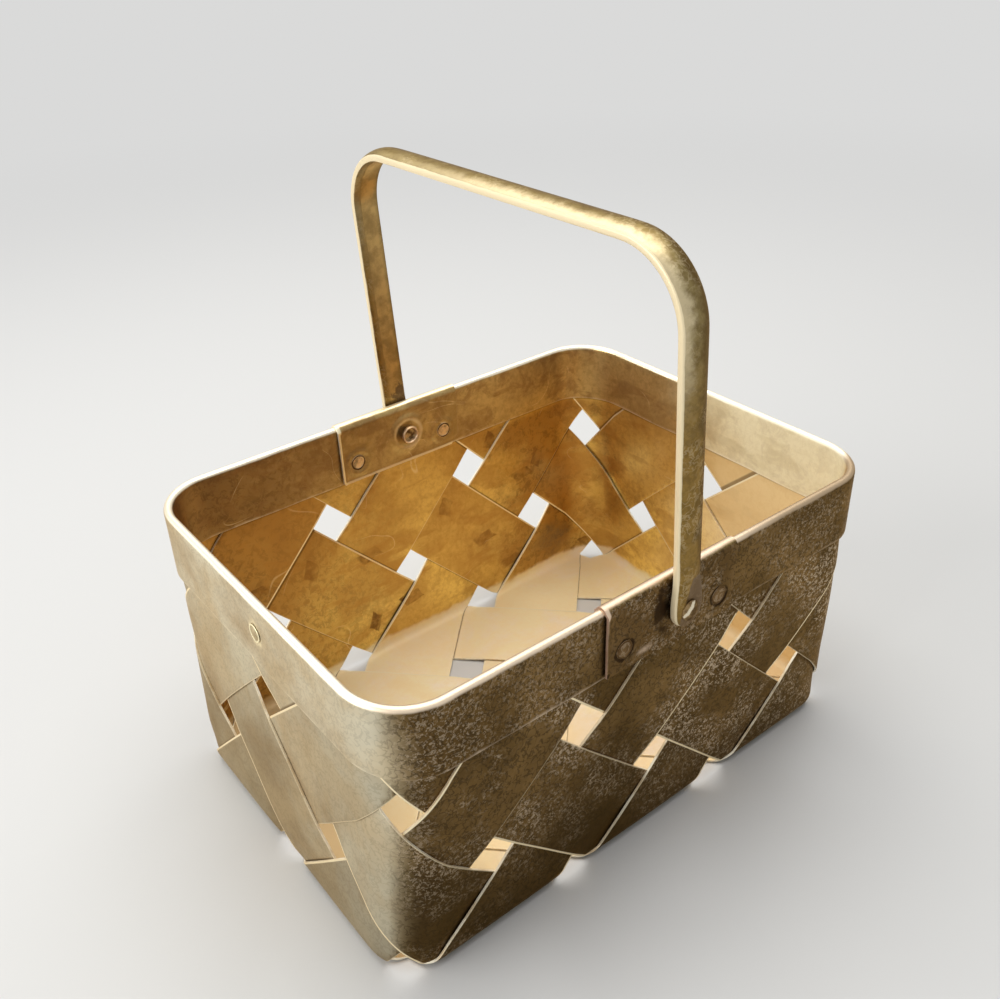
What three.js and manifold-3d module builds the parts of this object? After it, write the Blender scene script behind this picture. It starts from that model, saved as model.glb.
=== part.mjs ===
import * as THREE from 'three';
import { mergeVertices } from 'three/addons/utils/BufferGeometryUtils.js';
import Module from 'manifold-3d';

const wasm = await Module();
wasm.setup();

// Driving sizes in millimetres, angles in degrees.
// One cell is the distance between two openings of the weave.
const cellLength = 74;
const cellWidth = 75;
const cellHeight = 75;
const cellsLong = 3;
const cellsWide = 2;
const stripShare = 0.75;
const stripUnevenness = 0.018;
const sheetThickness = 0.6;
const layerGap = 0.4;
const foldRadius = 4.5;
const baseCornerRadius = 17;
const rimCornerRadius = 20.5;
const longWallFlare = 4.6;
const endWallFlare = -2.1;
const rimHeight = 119;
const bandHeight = 26.5;
const bandGap = 0.3;
const bandJointGap = 0.4;
const plateLength = 61;
const plateThickness = 0.8;
const plateCornerClip = 4;
const seatGap = 0.05;
const rivetHoleGap = 0.3;
const plateRivetSpacing = 44;
const plateRivetRise = 8.5;
const flushRivetShank = 4.2;
const flushRivetHead = 7;
const flushRivetHeadHeight = 0.5;
const bandRivetPosition = -5;
const bandRivetRise = 14;
const pivotShift = 3.5;
const pivotHeight = 106;
const pivotShank = 5;
const pivotHead = 9.4;
const pivotHeadHeight = 2.4;
const pivotStub = 7;
const pivotStubLength = 2.6;
const pivotStubHollow = 4.2;
const pivotStubHollowDepth = 1.4;
const bailTop = 229;
const bailWidth = 10.6;
const bailThickness = 4;
const bailCrown = 1;
const bailEdgeBevel = 0.5;
const bailCornerRadius = 26;
const bailLean = -3.4;
const bailSideGap = 0.8;
const lugRadius = 6.4;
const lugThickness = 2.8;
const lugCrown = 0.3;
const lugBlendLength = 16;

// Derived sizes.
const halfLength = cellsLong * cellLength / 2;
const halfWidth = cellsWide * cellWidth / 2;
const bandBottom = rimHeight - bandHeight;
const halfStack = sheetThickness + layerGap / 2;
const baseLift = halfStack;
const bandInner = halfStack + bandGap;
const bandOuter = bandInner + sheetThickness;
const plateInner = bandOuter + seatGap;
const plateOuter = plateInner + plateThickness;
const bandFoldHeight = rimHeight - bandOuter;
const stripTopHeight = bandFoldHeight - bandGap;
const stripTop = (stripTopHeight - baseLift) / cellHeight;
const longWallFace = halfWidth + longWallFlare;
const endWallFace = halfLength + endWallFlare;
const lugInnerFace = longWallFace + plateOuter + bailSideGap;
const lugOuterFace = lugInnerFace + lugThickness;

const clamp = (value, low, high) => Math.min(Math.max(value, low), high);
const sideSign = (value) => (value < 0 ? -1 : 1);
const toRadians = (degrees) => degrees * Math.PI / 180;
const centre = (polygon, axis) => polygon.reduce((sum, p) => sum + p[axis], 0) / polygon.length;

// Points of the flat layout closer than this count as one, in cells.
const sameSpot = 1e-6;
const spotKey = (p) => p.map((value) => Math.round(value / sameSpot)).join(' ');

// Share of the full flare reached at a height: none at the floor, all of it from the band up.
function flareShare(height) {
  const share = clamp(height / (bandBottom - baseLift), 0, 1);
  return (1 - Math.cos(Math.PI * share)) / 2;
}

// A point of the folded sheet. The weave is laid out flat in cells: a along the basket and
// b across it, the base from (0, 0) to (cellsLong, cellsWide) and the walls beyond its edges.
// Beyond a corner the larger distance is the height and the smaller one runs on round the corner.
// The offset is measured along the outward normal.
function sheetPoint(a, b, offset) {
  const outA = Math.max(-a, a - cellsLong, 0);
  const outB = Math.max(-b, b - cellsWide, 0);
  const wrap = Math.min(outA, outB);
  let x = clamp(a, 0, cellsLong) * cellLength - halfLength;
  let y = clamp(b, 0, cellsWide) * cellWidth - halfWidth;
  if (wrap > 0 && outB > outA) {
    y -= sideSign(y) * wrap * cellWidth;
  } else if (wrap > 0) {
    x -= sideSign(x) * wrap * cellLength;
  }
  const sharpHeight = Math.max(outA, outB) * cellHeight;
  const signX = sideSign(x);
  const signY = sideSign(y);
  const insetX = halfLength - Math.abs(x);
  const insetY = halfWidth - Math.abs(y);
  const sharpDepth = Math.min(insetX, insetY);

  // The fold between base and wall.
  let depth = sharpDepth;
  let height = sharpHeight;
  let outward = sharpHeight > 0 ? 1 : 0;
  let downward = 1 - outward;
  if (sharpDepth < foldRadius && sharpHeight < foldRadius) {
    const inX = foldRadius - sharpDepth;
    const inZ = foldRadius - sharpHeight;
    const reach = Math.hypot(inX, inZ);
    outward = inX / reach;
    downward = inZ / reach;
    depth = foldRadius * (1 - outward);
    height = foldRadius * (1 - downward);
  }

  // The upright corner.
  const share = flareShare(height);
  const radius = baseCornerRadius + (rimCornerRadius - baseCornerRadius) * share;
  const inCornerX = radius - insetX;
  const inCornerY = radius - insetY;
  let dirX = insetX <= insetY ? 1 : 0;
  let dirY = 1 - dirX;
  let placeX = dirX ? halfLength - depth : Math.abs(x);
  let placeY = dirY ? halfWidth - depth : Math.abs(y);
  if (inCornerX > 0 && inCornerY > 0) {
    const ratio = Math.min(inCornerX, inCornerY) / Math.max(inCornerX, inCornerY);
    const turn = ratio * Math.PI / 4;
    const angle = inCornerX >= inCornerY ? turn : Math.PI / 2 - turn;
    dirX = Math.cos(angle);
    dirY = Math.sin(angle);
    placeX = halfLength - radius + (radius - depth) * dirX;
    placeY = halfWidth - radius + (radius - depth) * dirY;
  }
  placeX *= 1 + share * endWallFlare / halfLength;
  placeY *= 1 + share * longWallFlare / halfWidth;
  return [
    signX * (placeX + offset * outward * dirX),
    signY * (placeY + offset * outward * dirY),
    baseLift + height - offset * downward,
  ];
}

const always = () => true;

// Cuts every polygon that the line along[0] * a + along[1] * b = level passes through. A corner
// nearer to the line than the snap distance counts as lying on it.
const snap = 0.004;
function cutPolygons(polygons, along, level, applies) {
  const result = [];
  for (const polygon of polygons) {
    const sides = polygon.map((p) => {
      const distance = p[0] * along[0] + p[1] * along[1] - level;
      return Math.abs(distance) < snap ? 0 : distance;
    });
    const crosses = Math.min(...sides) < 0 && Math.max(...sides) > 0;
    if (!crosses || !applies(polygon)) {
      result.push(polygon);
      continue;
    }
    const below = [];
    const above = [];
    polygon.forEach((p, i) => {
      const next = (i + 1) % polygon.length;
      if (sides[i] <= 0) {
        below.push(p);
      }
      if (sides[i] >= 0) {
        above.push(p);
      }
      if (sides[i] * sides[next] < 0) {
        const swap = p[0] > polygon[next][0];
        const from = swap ? polygon[next] : p;
        const to = swap ? p : polygon[next];
        const nearer = Math.abs(swap ? sides[next] : sides[i]);
        const share = nearer / (Math.abs(sides[i]) + Math.abs(sides[next]));
        const cross = [from[0] + (to[0] - from[0]) * share, from[1] + (to[1] - from[1]) * share];
        below.push(cross);
        above.push(cross);
      }
    });
    result.push(below, above);
  }
  return result;
}

// Keeps the part of the polygons where along[0] * a + along[1] * b is at most the level.
function keepBelow(polygons, along, level) {
  const middle = (polygon) => polygon.reduce((sum, p) => sum + p[0] * along[0] + p[1] * along[1], 0);
  return cutPolygons(polygons, along, level, always)
    .filter((polygon) => middle(polygon) / polygon.length < level);
}

// Where the bends are cut: shares of the fold radius, of the rim corner radius, and of the
// height of the wall below the band.
const foldSteps = [1, 1 - Math.tan(toRadians(15)), 1 - Math.tan(toRadians(30))];
const cornerSteps = [0.26, 0.52, 0.78, 1.1];
const flareSteps = [0.3, 0.65, 1];

// The two directions of the flat layout.
const axes = [
  { along: [1, 0], cells: cellsLong, cell: cellLength, wrapCell: cellWidth },
  { along: [0, 1], cells: cellsWide, cell: cellWidth, wrapCell: cellLength },
];

// How far the middle of a polygon lies beyond the base, negative inside it, in cells.
function reachBeyond(polygon, axis) {
  const place = centre(polygon, axis);
  return Math.max(-place, place - axes[axis].cells);
}

// Adds the lines along which the flat layout is bent: first the base folds, then the upright
// corners and the flare of the walls.
function cutBends(polygons) {
  let result = polygons;
  for (const axis of [0, 1]) {
    const { along, cells, cell } = axes[axis];
    const other = 1 - axis;
    const besideBase = (polygon) => reachBeyond(polygon, other) < 0;
    for (const [edge, inward] of [[0, 1], [cells, -1]]) {
      result = cutPolygons(result, along, edge, always);
      for (const step of foldSteps) {
        const reach = inward * step * foldRadius;
        result = cutPolygons(result, along, edge + reach / cell, besideBase);
        result = cutPolygons(result, along, edge - reach / cellHeight, besideBase);
      }
    }
  }
  for (const axis of [0, 1]) {
    const { along, cells, cell, wrapCell } = axes[axis];
    const other = 1 - axis;
    const foldReach = foldRadius / axes[other].cell;
    const bentAcross = (polygon) => reachBeyond(polygon, other) > -foldReach;
    const onOwnWall = (polygon) => reachBeyond(polygon, axis) > Math.max(reachBeyond(polygon, other), 0);
    for (const [edge, inward] of [[0, 1], [cells, -1]]) {
      for (const step of cornerSteps) {
        const reach = inward * step * rimCornerRadius;
        result = cutPolygons(result, along, edge + reach / cell, bentAcross);
        result = cutPolygons(result, along, edge - reach / wrapCell, bentAcross);
      }
      for (const step of flareSteps) {
        const rise = step * (bandBottom - baseLift) / cellHeight;
        result = cutPolygons(result, along, edge - inward * rise, onOwnWall);
      }
    }
  }
  return result;
}

// Adds the corners of neighbouring polygons that lie on an edge to that edge.
function closeEdges(polygons) {
  const corners = new Map();
  for (const polygon of polygons) {
    for (const p of polygon) {
      corners.set(spotKey(p), corners.get(spotKey(p)) ?? p);
    }
  }
  const nearLine = 10 * sameSpot;
  return polygons.map((polygon) => polygon.flatMap((start, i) => {
    const from = corners.get(spotKey(start));
    const to = polygon[(i + 1) % polygon.length];
    const step = [to[0] - from[0], to[1] - from[1]];
    const length = Math.hypot(...step);
    const between = [];
    for (const p of corners.values()) {
      const reach = ((p[0] - from[0]) * step[0] + (p[1] - from[1]) * step[1]) / length;
      const side = ((p[0] - from[0]) * step[1] - (p[1] - from[1]) * step[0]) / length;
      if (Math.abs(side) < nearLine && reach > nearLine && reach < length - nearLine) {
        between.push([reach, p]);
      }
    }
    between.sort((one, two) => one[0] - two[0]);
    return [from, ...between.map((entry) => entry[1])];
  }));
}

// Splits a convex polygon into triangles, from the corner that gives the fattest ones or, where
// corners in line leave none fat enough, from its middle.
const leastArea = 1e-5;
function fanTriangles(polygon) {
  const area = (p, q, r) => ((q[0] - p[0]) * (r[1] - p[1]) - (q[1] - p[1]) * (r[0] - p[0])) / 2;
  const count = polygon.length;
  let best = { smallest: -1, triangles: [] };
  for (let first = 0; first < count; first += 1) {
    const triangles = [];
    for (let i = 1; i < count - 1; i += 1) {
      triangles.push([polygon[first], polygon[(first + i) % count], polygon[(first + i + 1) % count]]);
    }
    const smallest = Math.min(...triangles.map((triangle) => area(...triangle)));
    if (smallest > best.smallest) {
      best = { smallest, triangles };
    }
  }
  if (best.smallest > leastArea) {
    return best.triangles;
  }
  const hub = [centre(polygon, 0), centre(polygon, 1)];
  return polygon.map((p, i) => [hub, p, polygon[(i + 1) % count]]);
}

function meshFromArrays(points, triangles) {
  const geometry = new THREE.BufferGeometry();
  geometry.setAttribute('position', new THREE.Float32BufferAttribute(points.flat(), 3));
  geometry.setIndex(triangles.flat());
  return geometry;
}

// Thickens a flat layout into a sheet. The layer gives the height of the middle of the sheet
// above the middle surface of the wall.
function sheetFromPolygons(polygons, layer) {
  const points = [];
  const triangles = [];
  const indexOf = new Map();
  const edgeCount = new Map();
  const index = (p) => {
    const key = spotKey(p);
    if (!indexOf.has(key)) {
      indexOf.set(key, points.length);
      const middle = layer(p);
      points.push(sheetPoint(p[0], p[1], middle + sheetThickness / 2));
      points.push(sheetPoint(p[0], p[1], middle - sheetThickness / 2));
    }
    return indexOf.get(key);
  };
  for (const polygon of closeEdges(polygons)) {
    for (const triangle of fanTriangles(polygon)) {
      const [i, j, k] = triangle.map(index);
      triangles.push([k, j, i], [i + 1, j + 1, k + 1]);
      for (const [from, to] of [[i, j], [j, k], [k, i]]) {
        const reverse = `${to} ${from}`;
        if (edgeCount.has(reverse)) {
          edgeCount.delete(reverse);
        } else {
          edgeCount.set(`${from} ${to}`, [from, to]);
        }
      }
    }
  }
  for (const [from, to] of edgeCount.values()) {
    triangles.push([from, to, to + 1], [from, to + 1, from + 1]);
  }
  return meshFromArrays(points, triangles);
}

// Handmade unevenness of the strips, from -1 to 1, scattered by their serial numbers.
const unevenPlace = (serial) => Math.sin(2.3 * serial + 0.7);
const unevenWidth = (serial) => Math.sin(3.9 * serial + 2.1);

// One woven strip. Family 1 keeps a - b constant, family 2 keeps a + b constant.
function stripGeometry(family, line, serial) {
  const alongStrip = family === 1 ? [1, 1] : [1, -1];
  const shift = stripUnevenness * unevenPlace(serial);
  const half = (stripShare + stripUnevenness * unevenWidth(serial)) / 2;
  const reach = cellsLong + cellsWide + 2 * stripTop;
  const corner = (side, end) => {
    const q = line + shift + side * half;
    const s = end * reach;
    return family === 1 ? [(s + q) / 2, (s - q) / 2] : [(q + s) / 2, (q - s) / 2];
  };
  const outline = [corner(-1, -1), corner(1, -1), corner(1, 1), corner(-1, 1)];
  let polygons = [family === 1 ? outline : outline.reverse()];
  polygons = keepBelow(polygons, [1, 0], cellsLong + stripTop);
  polygons = keepBelow(polygons, [-1, 0], stripTop);
  polygons = keepBelow(polygons, [0, 1], cellsWide + stripTop);
  polygons = keepBelow(polygons, [0, -1], stripTop);

  // The strip changes layer in the openings between two crossings, clear of the widest strip in
  // its most shifted place.
  const rampStart = stripShare / 2 + 1.5 * stripUnevenness;
  const crossings = Math.ceil(reach);
  for (let k = -crossings; k <= crossings; k += 1) {
    polygons = cutPolygons(polygons, alongStrip, k + 0.5 - rampStart, always);
    polygons = cutPolygons(polygons, alongStrip, k + 0.5 + rampStart, always);
  }
  polygons = cutBends(polygons);

  const isOuter = (crossing) => {
    const a = (line + crossing) / 2;
    const whole = Math.abs(a - Math.round(a)) < sameSpot;
    return family === 1 ? whole : !whole;
  };
  const rise = (sheetThickness + layerGap) / 2;
  const layer = (p) => {
    const s = p[0] * alongStrip[0] + p[1] * alongStrip[1];
    const crossing = Math.round(s - 0.5) + 0.5;
    const beyond = s - crossing;
    const next = crossing + sideSign(beyond);
    const gap = 1 - 2 * rampStart;
    const share = clamp((Math.abs(beyond) - rampStart) / gap, 0, 1);
    const here = isOuter(crossing) ? rise : -rise;
    const there = isOuter(next) ? rise : -rise;
    return here + (there - here) * share;
  };
  return sheetFromPolygons(polygons, layer);
}

// Rings of equal length joined into a skin that is open at both ends.
function loftSkin(rings) {
  const size = rings[0].length;
  const triangles = [];
  for (let ring = 0; ring < rings.length - 1; ring += 1) {
    const here = ring * size;
    const there = here + size;
    for (let i = 0; i < size; i += 1) {
      const next = (i + 1) % size;
      triangles.push([here + i, there + next, here + next], [here + i, there + i, there + next]);
    }
  }
  return { points: rings.flat(), triangles };
}

// Triangles that close one end of a skin whose rings have the shape of the flat ring.
function capTriangles(flatRing, start, reversed) {
  const contour = flatRing.map((p) => new THREE.Vector2(p[0], p[1]));
  const faces = THREE.ShapeUtils.triangulateShape(contour, []);
  return faces.map((face) => (reversed ? face.reverse() : face).map((i) => i + start));
}

// The section of a folded sheet over the wall edge, as [height, offset] pairs.
function foldSection(inner, outer, bottom, top) {
  const arcSteps = 4;
  const middle = top - outer;
  const section = [[bottom, inner], [bottom, outer]];
  for (let i = 0; i <= arcSteps; i += 1) {
    const angle = Math.PI * i / arcSteps;
    section.push([middle + outer * Math.sin(angle), outer * Math.cos(angle)]);
  }
  section.push([bottom, -outer], [bottom, -inner]);
  for (let i = arcSteps; i >= 0; i -= 1) {
    const angle = Math.PI * i / arcSteps;
    section.push([middle + inner * Math.sin(angle), inner * Math.cos(angle)]);
  }
  return section;
}

// A folded sheet set over the wall edge at the given stations round the basket.
function foldedSheet(stations, section) {
  const rings = stations.map((station) => section.map(([height, offset]) => {
    const up = (height - baseLift) / cellHeight;
    const [a, b] = station(up);
    return sheetPoint(a, b, offset);
  }));
  const skin = loftSkin(rings);
  const lastRing = (rings.length - 1) * section.length;
  skin.triangles.push(...capTriangles(section, 0, true));
  skin.triangles.push(...capTriangles(section, lastRing, false));
  return meshFromArrays(skin.points, skin.triangles);
}

const mergeReach = 1e-5;
function toManifold(geometry) {
  const bare = geometry.clone();
  bare.deleteAttribute('normal');
  bare.deleteAttribute('uv');
  const merged = mergeVertices(bare, mergeReach);
  const mesh = new wasm.Mesh({
    numProp: 3,
    vertProperties: new Float32Array(merged.attributes.position.array),
    triVerts: new Uint32Array(merged.index.array),
  });
  mesh.merge();
  return new wasm.Manifold(mesh);
}

function toGeometry(manifold) {
  const mesh = manifold.getMesh();
  const geometry = new THREE.BufferGeometry();
  geometry.setAttribute('position', new THREE.Float32BufferAttribute(mesh.vertProperties, 3));
  geometry.setIndex(Array.from(mesh.triVerts));
  return geometry;
}

// A turned solid: the profile is [radius, distance along the axis] from end to end.
const roundSides = 14;
function turnedSolid(profile) {
  const points = profile.map(([radius, along]) => new THREE.Vector2(radius, along));
  return new THREE.LatheGeometry(points, roundSides);
}

// Stands a turned solid with its axis along the outward direction of a wall.
const outwardOf = {
  front: new THREE.Vector3(0, -1, 0),
  back: new THREE.Vector3(0, 1, 0),
  left: new THREE.Vector3(-1, 0, 0),
};
function placeOnWall(geometry, wall, alongWall, face, height) {
  const outward = outwardOf[wall];
  const turn = new THREE.Quaternion().setFromUnitVectors(new THREE.Vector3(0, 1, 0), outward);
  const foot = outward.clone().multiplyScalar(face);
  if (wall === 'left') {
    foot.y = alongWall;
  } else {
    foot.x = alongWall;
  }
  foot.z = height;
  return geometry.clone().applyQuaternion(turn).translate(foot.x, foot.y, foot.z);
}

// A flush rivet with a low head at both ends of a stack, centred on the middle of the wall.
function flushRivet(stackOuter) {
  const shank = flushRivetShank / 2;
  const head = flushRivetHead / 2;
  const seat = stackOuter + seatGap;
  const top = seat + flushRivetHeadHeight;
  const bevel = flushRivetHeadHeight / 2;
  return turnedSolid([
    [0, -top],
    [head - bevel, -top],
    [head, -top + bevel],
    [head, -seat],
    [shank, -seat],
    [shank, seat],
    [head, seat],
    [head, top - bevel],
    [head - bevel, top],
    [0, top],
  ]);
}

// The pivot rivet: domed head outside the lug, hollow-ended stub inside the basket.
function pivotRivet() {
  const shank = pivotShank / 2;
  const head = pivotHead / 2;
  const stub = pivotStub / 2;
  const hollow = pivotStubHollow / 2;
  const headSeat = lugOuterFace - longWallFace + seatGap;
  const stubSeat = -plateOuter - seatGap;
  const stubEnd = stubSeat - pivotStubLength;
  const rimBevel = 0.4;
  const profile = [
    [0, stubEnd + pivotStubHollowDepth],
    [hollow, stubEnd + pivotStubHollowDepth],
    [hollow, stubEnd],
    [stub - rimBevel, stubEnd],
    [stub, stubEnd + rimBevel],
    [stub, stubSeat],
    [shank, stubSeat],
    [shank, headSeat],
    [head, headSeat],
  ];
  const domeSteps = 5;
  const edgeHeight = pivotHeadHeight / 4;
  for (let i = 0; i <= domeSteps; i += 1) {
    const angle = Math.PI / 2 * i / domeSteps;
    const radius = i === domeSteps ? 0 : head * Math.cos(angle);
    const lift = edgeHeight + (pivotHeadHeight - edgeHeight) * Math.sin(angle);
    profile.push([radius, headSeat + lift]);
  }
  return turnedSolid(profile);
}

function drill(diameter, from, to) {
  const radius = diameter / 2;
  return turnedSolid([[0, from], [radius, from], [radius, to], [0, to]]);
}

// Section of the bail bar: flat inside, crowned outside, with bevelled inner edges. It is given
// as [across, outwards] pairs.
const shoulderShare = 0.6;
const shoulderDrop = 0.3;
function barSection({ half, thickness, crown }) {
  const bevel = Math.min(bailEdgeBevel, half / 3);
  const shoulder = shoulderShare * half;
  const shoulderHeight = thickness - shoulderDrop * crown;
  return [
    [-half + bevel, 0],
    [half - bevel, 0],
    [half, bevel],
    [half, thickness - crown],
    [shoulder, shoulderHeight],
    [0, thickness],
    [-shoulder, shoulderHeight],
    [-half, thickness - crown],
    [-half, bevel],
  ];
}

// The bail: a bar bent into a U, its ends flattened into rounded lugs beside the pivots.
function bailGeometry() {
  const bar = { half: bailWidth / 2, thickness: bailThickness, crown: bailCrown };
  const lug = { thickness: lugThickness, crown: lugCrown };
  const innerRadius = bailCornerRadius - bailThickness;
  const bendCentre = lugInnerFace - innerRadius;
  const bendHeight = bailTop - bailCornerRadius;

  // Stations of one leg from the tip of the lug to the start of the bend.
  const lugSteps = [0.985, 0.92, 0.8, 0.62, 0.42, 0.2, 0];
  const leg = lugSteps.map((step) => ({
    height: pivotHeight - lugRadius * step,
    half: lugRadius * Math.sqrt(1 - step * step),
    ...lug,
  }));
  leg.push({ ...leg.at(-1), height: pivotHeight + lugBlendLength / 3 });
  leg.push({ ...bar, height: pivotHeight + lugBlendLength });
  leg.push({ ...bar, height: bendHeight });

  const rings = [];
  const addRing = (section, y, z, outY, outZ) => {
    rings.push(barSection(section).map(([x, out]) => [pivotShift + x, y + outY * out, z + outZ * out]));
  };
  const bendSteps = 9;
  const addBend = (angle) => {
    const outY = -Math.cos(angle);
    const outZ = Math.sin(angle);
    const side = angle <= Math.PI / 2 ? -1 : 1;
    addRing(bar, side * bendCentre + innerRadius * outY, bendHeight + innerRadius * outZ, outY, outZ);
  };
  for (const station of leg) {
    addRing(station, -lugInnerFace, station.height, -1, 0);
  }
  for (let i = 1; i <= bendSteps; i += 1) {
    addBend(Math.PI / 2 * i / bendSteps);
  }
  addRing(bar, bendCentre, bendHeight + innerRadius, 0, 1);
  for (let i = 1; i < bendSteps; i += 1) {
    addBend(Math.PI / 2 * (1 + i / bendSteps));
  }
  for (const station of leg.reverse()) {
    addRing(station, lugInnerFace, station.height, 1, 0);
  }
  const skin = loftSkin(rings);
  const end = barSection(bar);
  skin.triangles.push(...capTriangles(end, 0, false));
  skin.triangles.push(...capTriangles(end, (rings.length - 1) * end.length, true));
  return meshFromArrays(skin.points, skin.triangles);
}

// Colours and finish of the brass pieces.
const tones = {
  stripLight: { color: 0xc9a666, roughness: 0.42, metalness: 1 },
  stripDark: { color: 0xb08a4c, roughness: 0.46, metalness: 1 },
  band: { color: 0xb89c66, roughness: 0.48, metalness: 1 },
  plate: { color: 0xb3935a, roughness: 0.44, metalness: 1 },
  rivet: { color: 0xc4a468, roughness: 0.38, metalness: 1 },
  pivot: { color: 0xd8c18a, roughness: 0.28, metalness: 1 },
  bail: { color: 0xbfa868, roughness: 0.4, metalness: 1 },
};

const part = new THREE.Group();
part.name = 'woven_brass_basket';
function addPiece(name, manifold, tone) {
  const material = new THREE.MeshStandardMaterial(tones[tone]);
  material.name = tone;
  const mesh = new THREE.Mesh(toGeometry(manifold), material);
  mesh.name = name;
  part.add(mesh);
}

// Where the rivets sit.
const faceOf = { front: longWallFace, back: longWallFace, left: endWallFace };
const plateRivetHeight = bandBottom + plateRivetRise;
const flushSeats = [];
const pivotSeats = [];
for (const wall of ['front', 'back']) {
  for (const [end, side] of [['left', -1], ['right', 1]]) {
    flushSeats.push({
      name: `plate_rivet_${wall}_${end}`,
      wall,
      alongWall: side * plateRivetSpacing / 2,
      height: plateRivetHeight,
      stack: plateOuter,
    });
  }
  pivotSeats.push({ name: `pivot_rivet_${wall}`, wall, alongWall: pivotShift, height: pivotHeight });
}
flushSeats.push({
  name: 'band_rivet_left_end',
  wall: 'left',
  alongWall: bandRivetPosition,
  height: bandBottom + bandRivetRise,
  stack: bandOuter,
});
const placeAt = (seat, geometry) => {
  const { wall, alongWall, height } = seat;
  return toManifold(placeOnWall(geometry, wall, alongWall, faceOf[wall], height));
};

// Through holes for the rivets, in every sheet that they pass and a little beyond.
const holeReach = lugOuterFace - longWallFace + rivetHoleGap;
const flushHole = drill(flushRivetShank + 2 * rivetHoleGap, -holeReach, holeReach);
const pivotHole = drill(pivotShank + 2 * rivetHoleGap, -holeReach, holeReach);
const pivotHoles = pivotSeats.map((seat) => placeAt(seat, pivotHole));
const flushHoles = flushSeats.map((seat) => placeAt(seat, flushHole));
const joinAll = (solids) => solids.reduce((sum, solid) => sum.add(solid));
const sheetHoles = joinAll([...pivotHoles, ...flushHoles]);

// Woven strips.
const stripCount = cellsLong + cellsWide;
for (let i = 0; i < stripCount; i += 1) {
  const line = i + 0.5 - cellsWide;
  const strip = toManifold(stripGeometry(1, line, i + 1)).subtract(sheetHoles);
  addPiece(`strip_rising_${i + 1}`, strip, i % 2 ? 'stripDark' : 'stripLight');
}
for (let i = 0; i < stripCount; i += 1) {
  const strip = toManifold(stripGeometry(2, i + 0.5, i + 1 + stripCount)).subtract(sheetHoles);
  addPiece(`strip_falling_${i + 1}`, strip, i % 2 ? 'stripLight' : 'stripDark');
}

// Rim band: one folded sheet round the whole rim, its two ends meeting under the back plate.
const cornerReaches = [0, ...cornerSteps].map((step) => step * rimCornerRadius);
const sidePositions = (length) => [
  ...cornerReaches.map((reach) => reach / length),
  ...cornerReaches.map((reach) => 1 - reach / length).reverse(),
];
const onFront = (t) => (up) => [t * cellsLong, -up];
const onRight = (t) => (up) => [cellsLong + up, t * cellsWide];
const onBack = (t) => (up) => [(1 - t) * cellsLong, cellsWide + up];
const onLeft = (t) => (up) => [-up, (1 - t) * cellsWide];
const longPositions = sidePositions(2 * halfLength);
const endPositions = sidePositions(2 * halfWidth).slice(1, -1);
const jointShare = 0.5 + plateRivetSpacing / 4 / (2 * halfLength);
const jointHalf = bandJointGap / 2 / (2 * halfLength);
const backFirst = longPositions.filter((t) => t > 1 - jointShare);
const backLast = longPositions.filter((t) => t < 1 - jointShare);
const bandStations = [
  onBack(1 - jointShare + jointHalf),
  ...backFirst.map(onBack),
  ...endPositions.map(onLeft),
  ...longPositions.map(onFront),
  ...endPositions.map(onRight),
  ...backLast.map(onBack),
  onBack(1 - jointShare - jointHalf),
];
const bandSection = foldSection(bandInner, bandOuter, bandBottom, rimHeight);
addPiece('rim_band', toManifold(foldedSheet(bandStations, bandSection)).subtract(sheetHoles), 'band');

// Saddle plates folded over the band at the middle of both long walls, with the lower right
// corner of the inner leaf clipped.
const plateTop = rimHeight + seatGap + plateThickness;
const plateSection = foldSection(plateInner, plateOuter, bandBottom, plateTop);
const plateHalfShare = plateLength / 2 / (2 * endWallFace);
function clipGeometry(wall) {
  const end = plateLength / 2;
  const clip = plateCornerClip;
  const corners = [
    [end - 2 * clip, bandBottom - clip],
    [end + clip, bandBottom - clip],
    [end + clip, bandBottom + 2 * clip],
  ];
  const shape = new THREE.Shape(corners.map(([x, z]) => new THREE.Vector2(x, z)));
  const depth = plateOuter + plateThickness;
  const geometry = new THREE.ExtrudeGeometry(shape, { depth, bevelEnabled: false });
  geometry.rotateX(Math.PI / 2);
  const start = wall === 'front' ? depth - longWallFace : longWallFace;
  return geometry.translate(0, start, 0);
}
for (const wall of ['front', 'back']) {
  const place = wall === 'front' ? onFront : onBack;
  const ends = [0.5 - plateHalfShare, 0.5 + plateHalfShare].map(place);
  const plate = toManifold(foldedSheet(ends, plateSection))
    .subtract(toManifold(clipGeometry(wall)))
    .subtract(sheetHoles);
  addPiece(`saddle_plate_${wall}`, plate, 'plate');
}

// Rivets.
for (const seat of flushSeats) {
  addPiece(seat.name, placeAt(seat, flushRivet(seat.stack)), 'rivet');
}
for (const seat of pivotSeats) {
  addPiece(seat.name, placeAt(seat, pivotRivet()), 'pivot');
}

// Bail, leaning a little to the left on its pivots.
const bail = toManifold(bailGeometry())
  .subtract(joinAll(pivotHoles))
  .translate([-pivotShift, 0, -pivotHeight])
  .rotate([0, bailLean, 0])
  .translate([pivotShift, 0, pivotHeight]);
addPiece('bail', bail, 'bail');

export default part;
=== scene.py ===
"""Looks of the woven brass basket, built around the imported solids."""

import math
from bisect import bisect

import bpy
from mathutils import Matrix, Vector, noise


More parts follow.
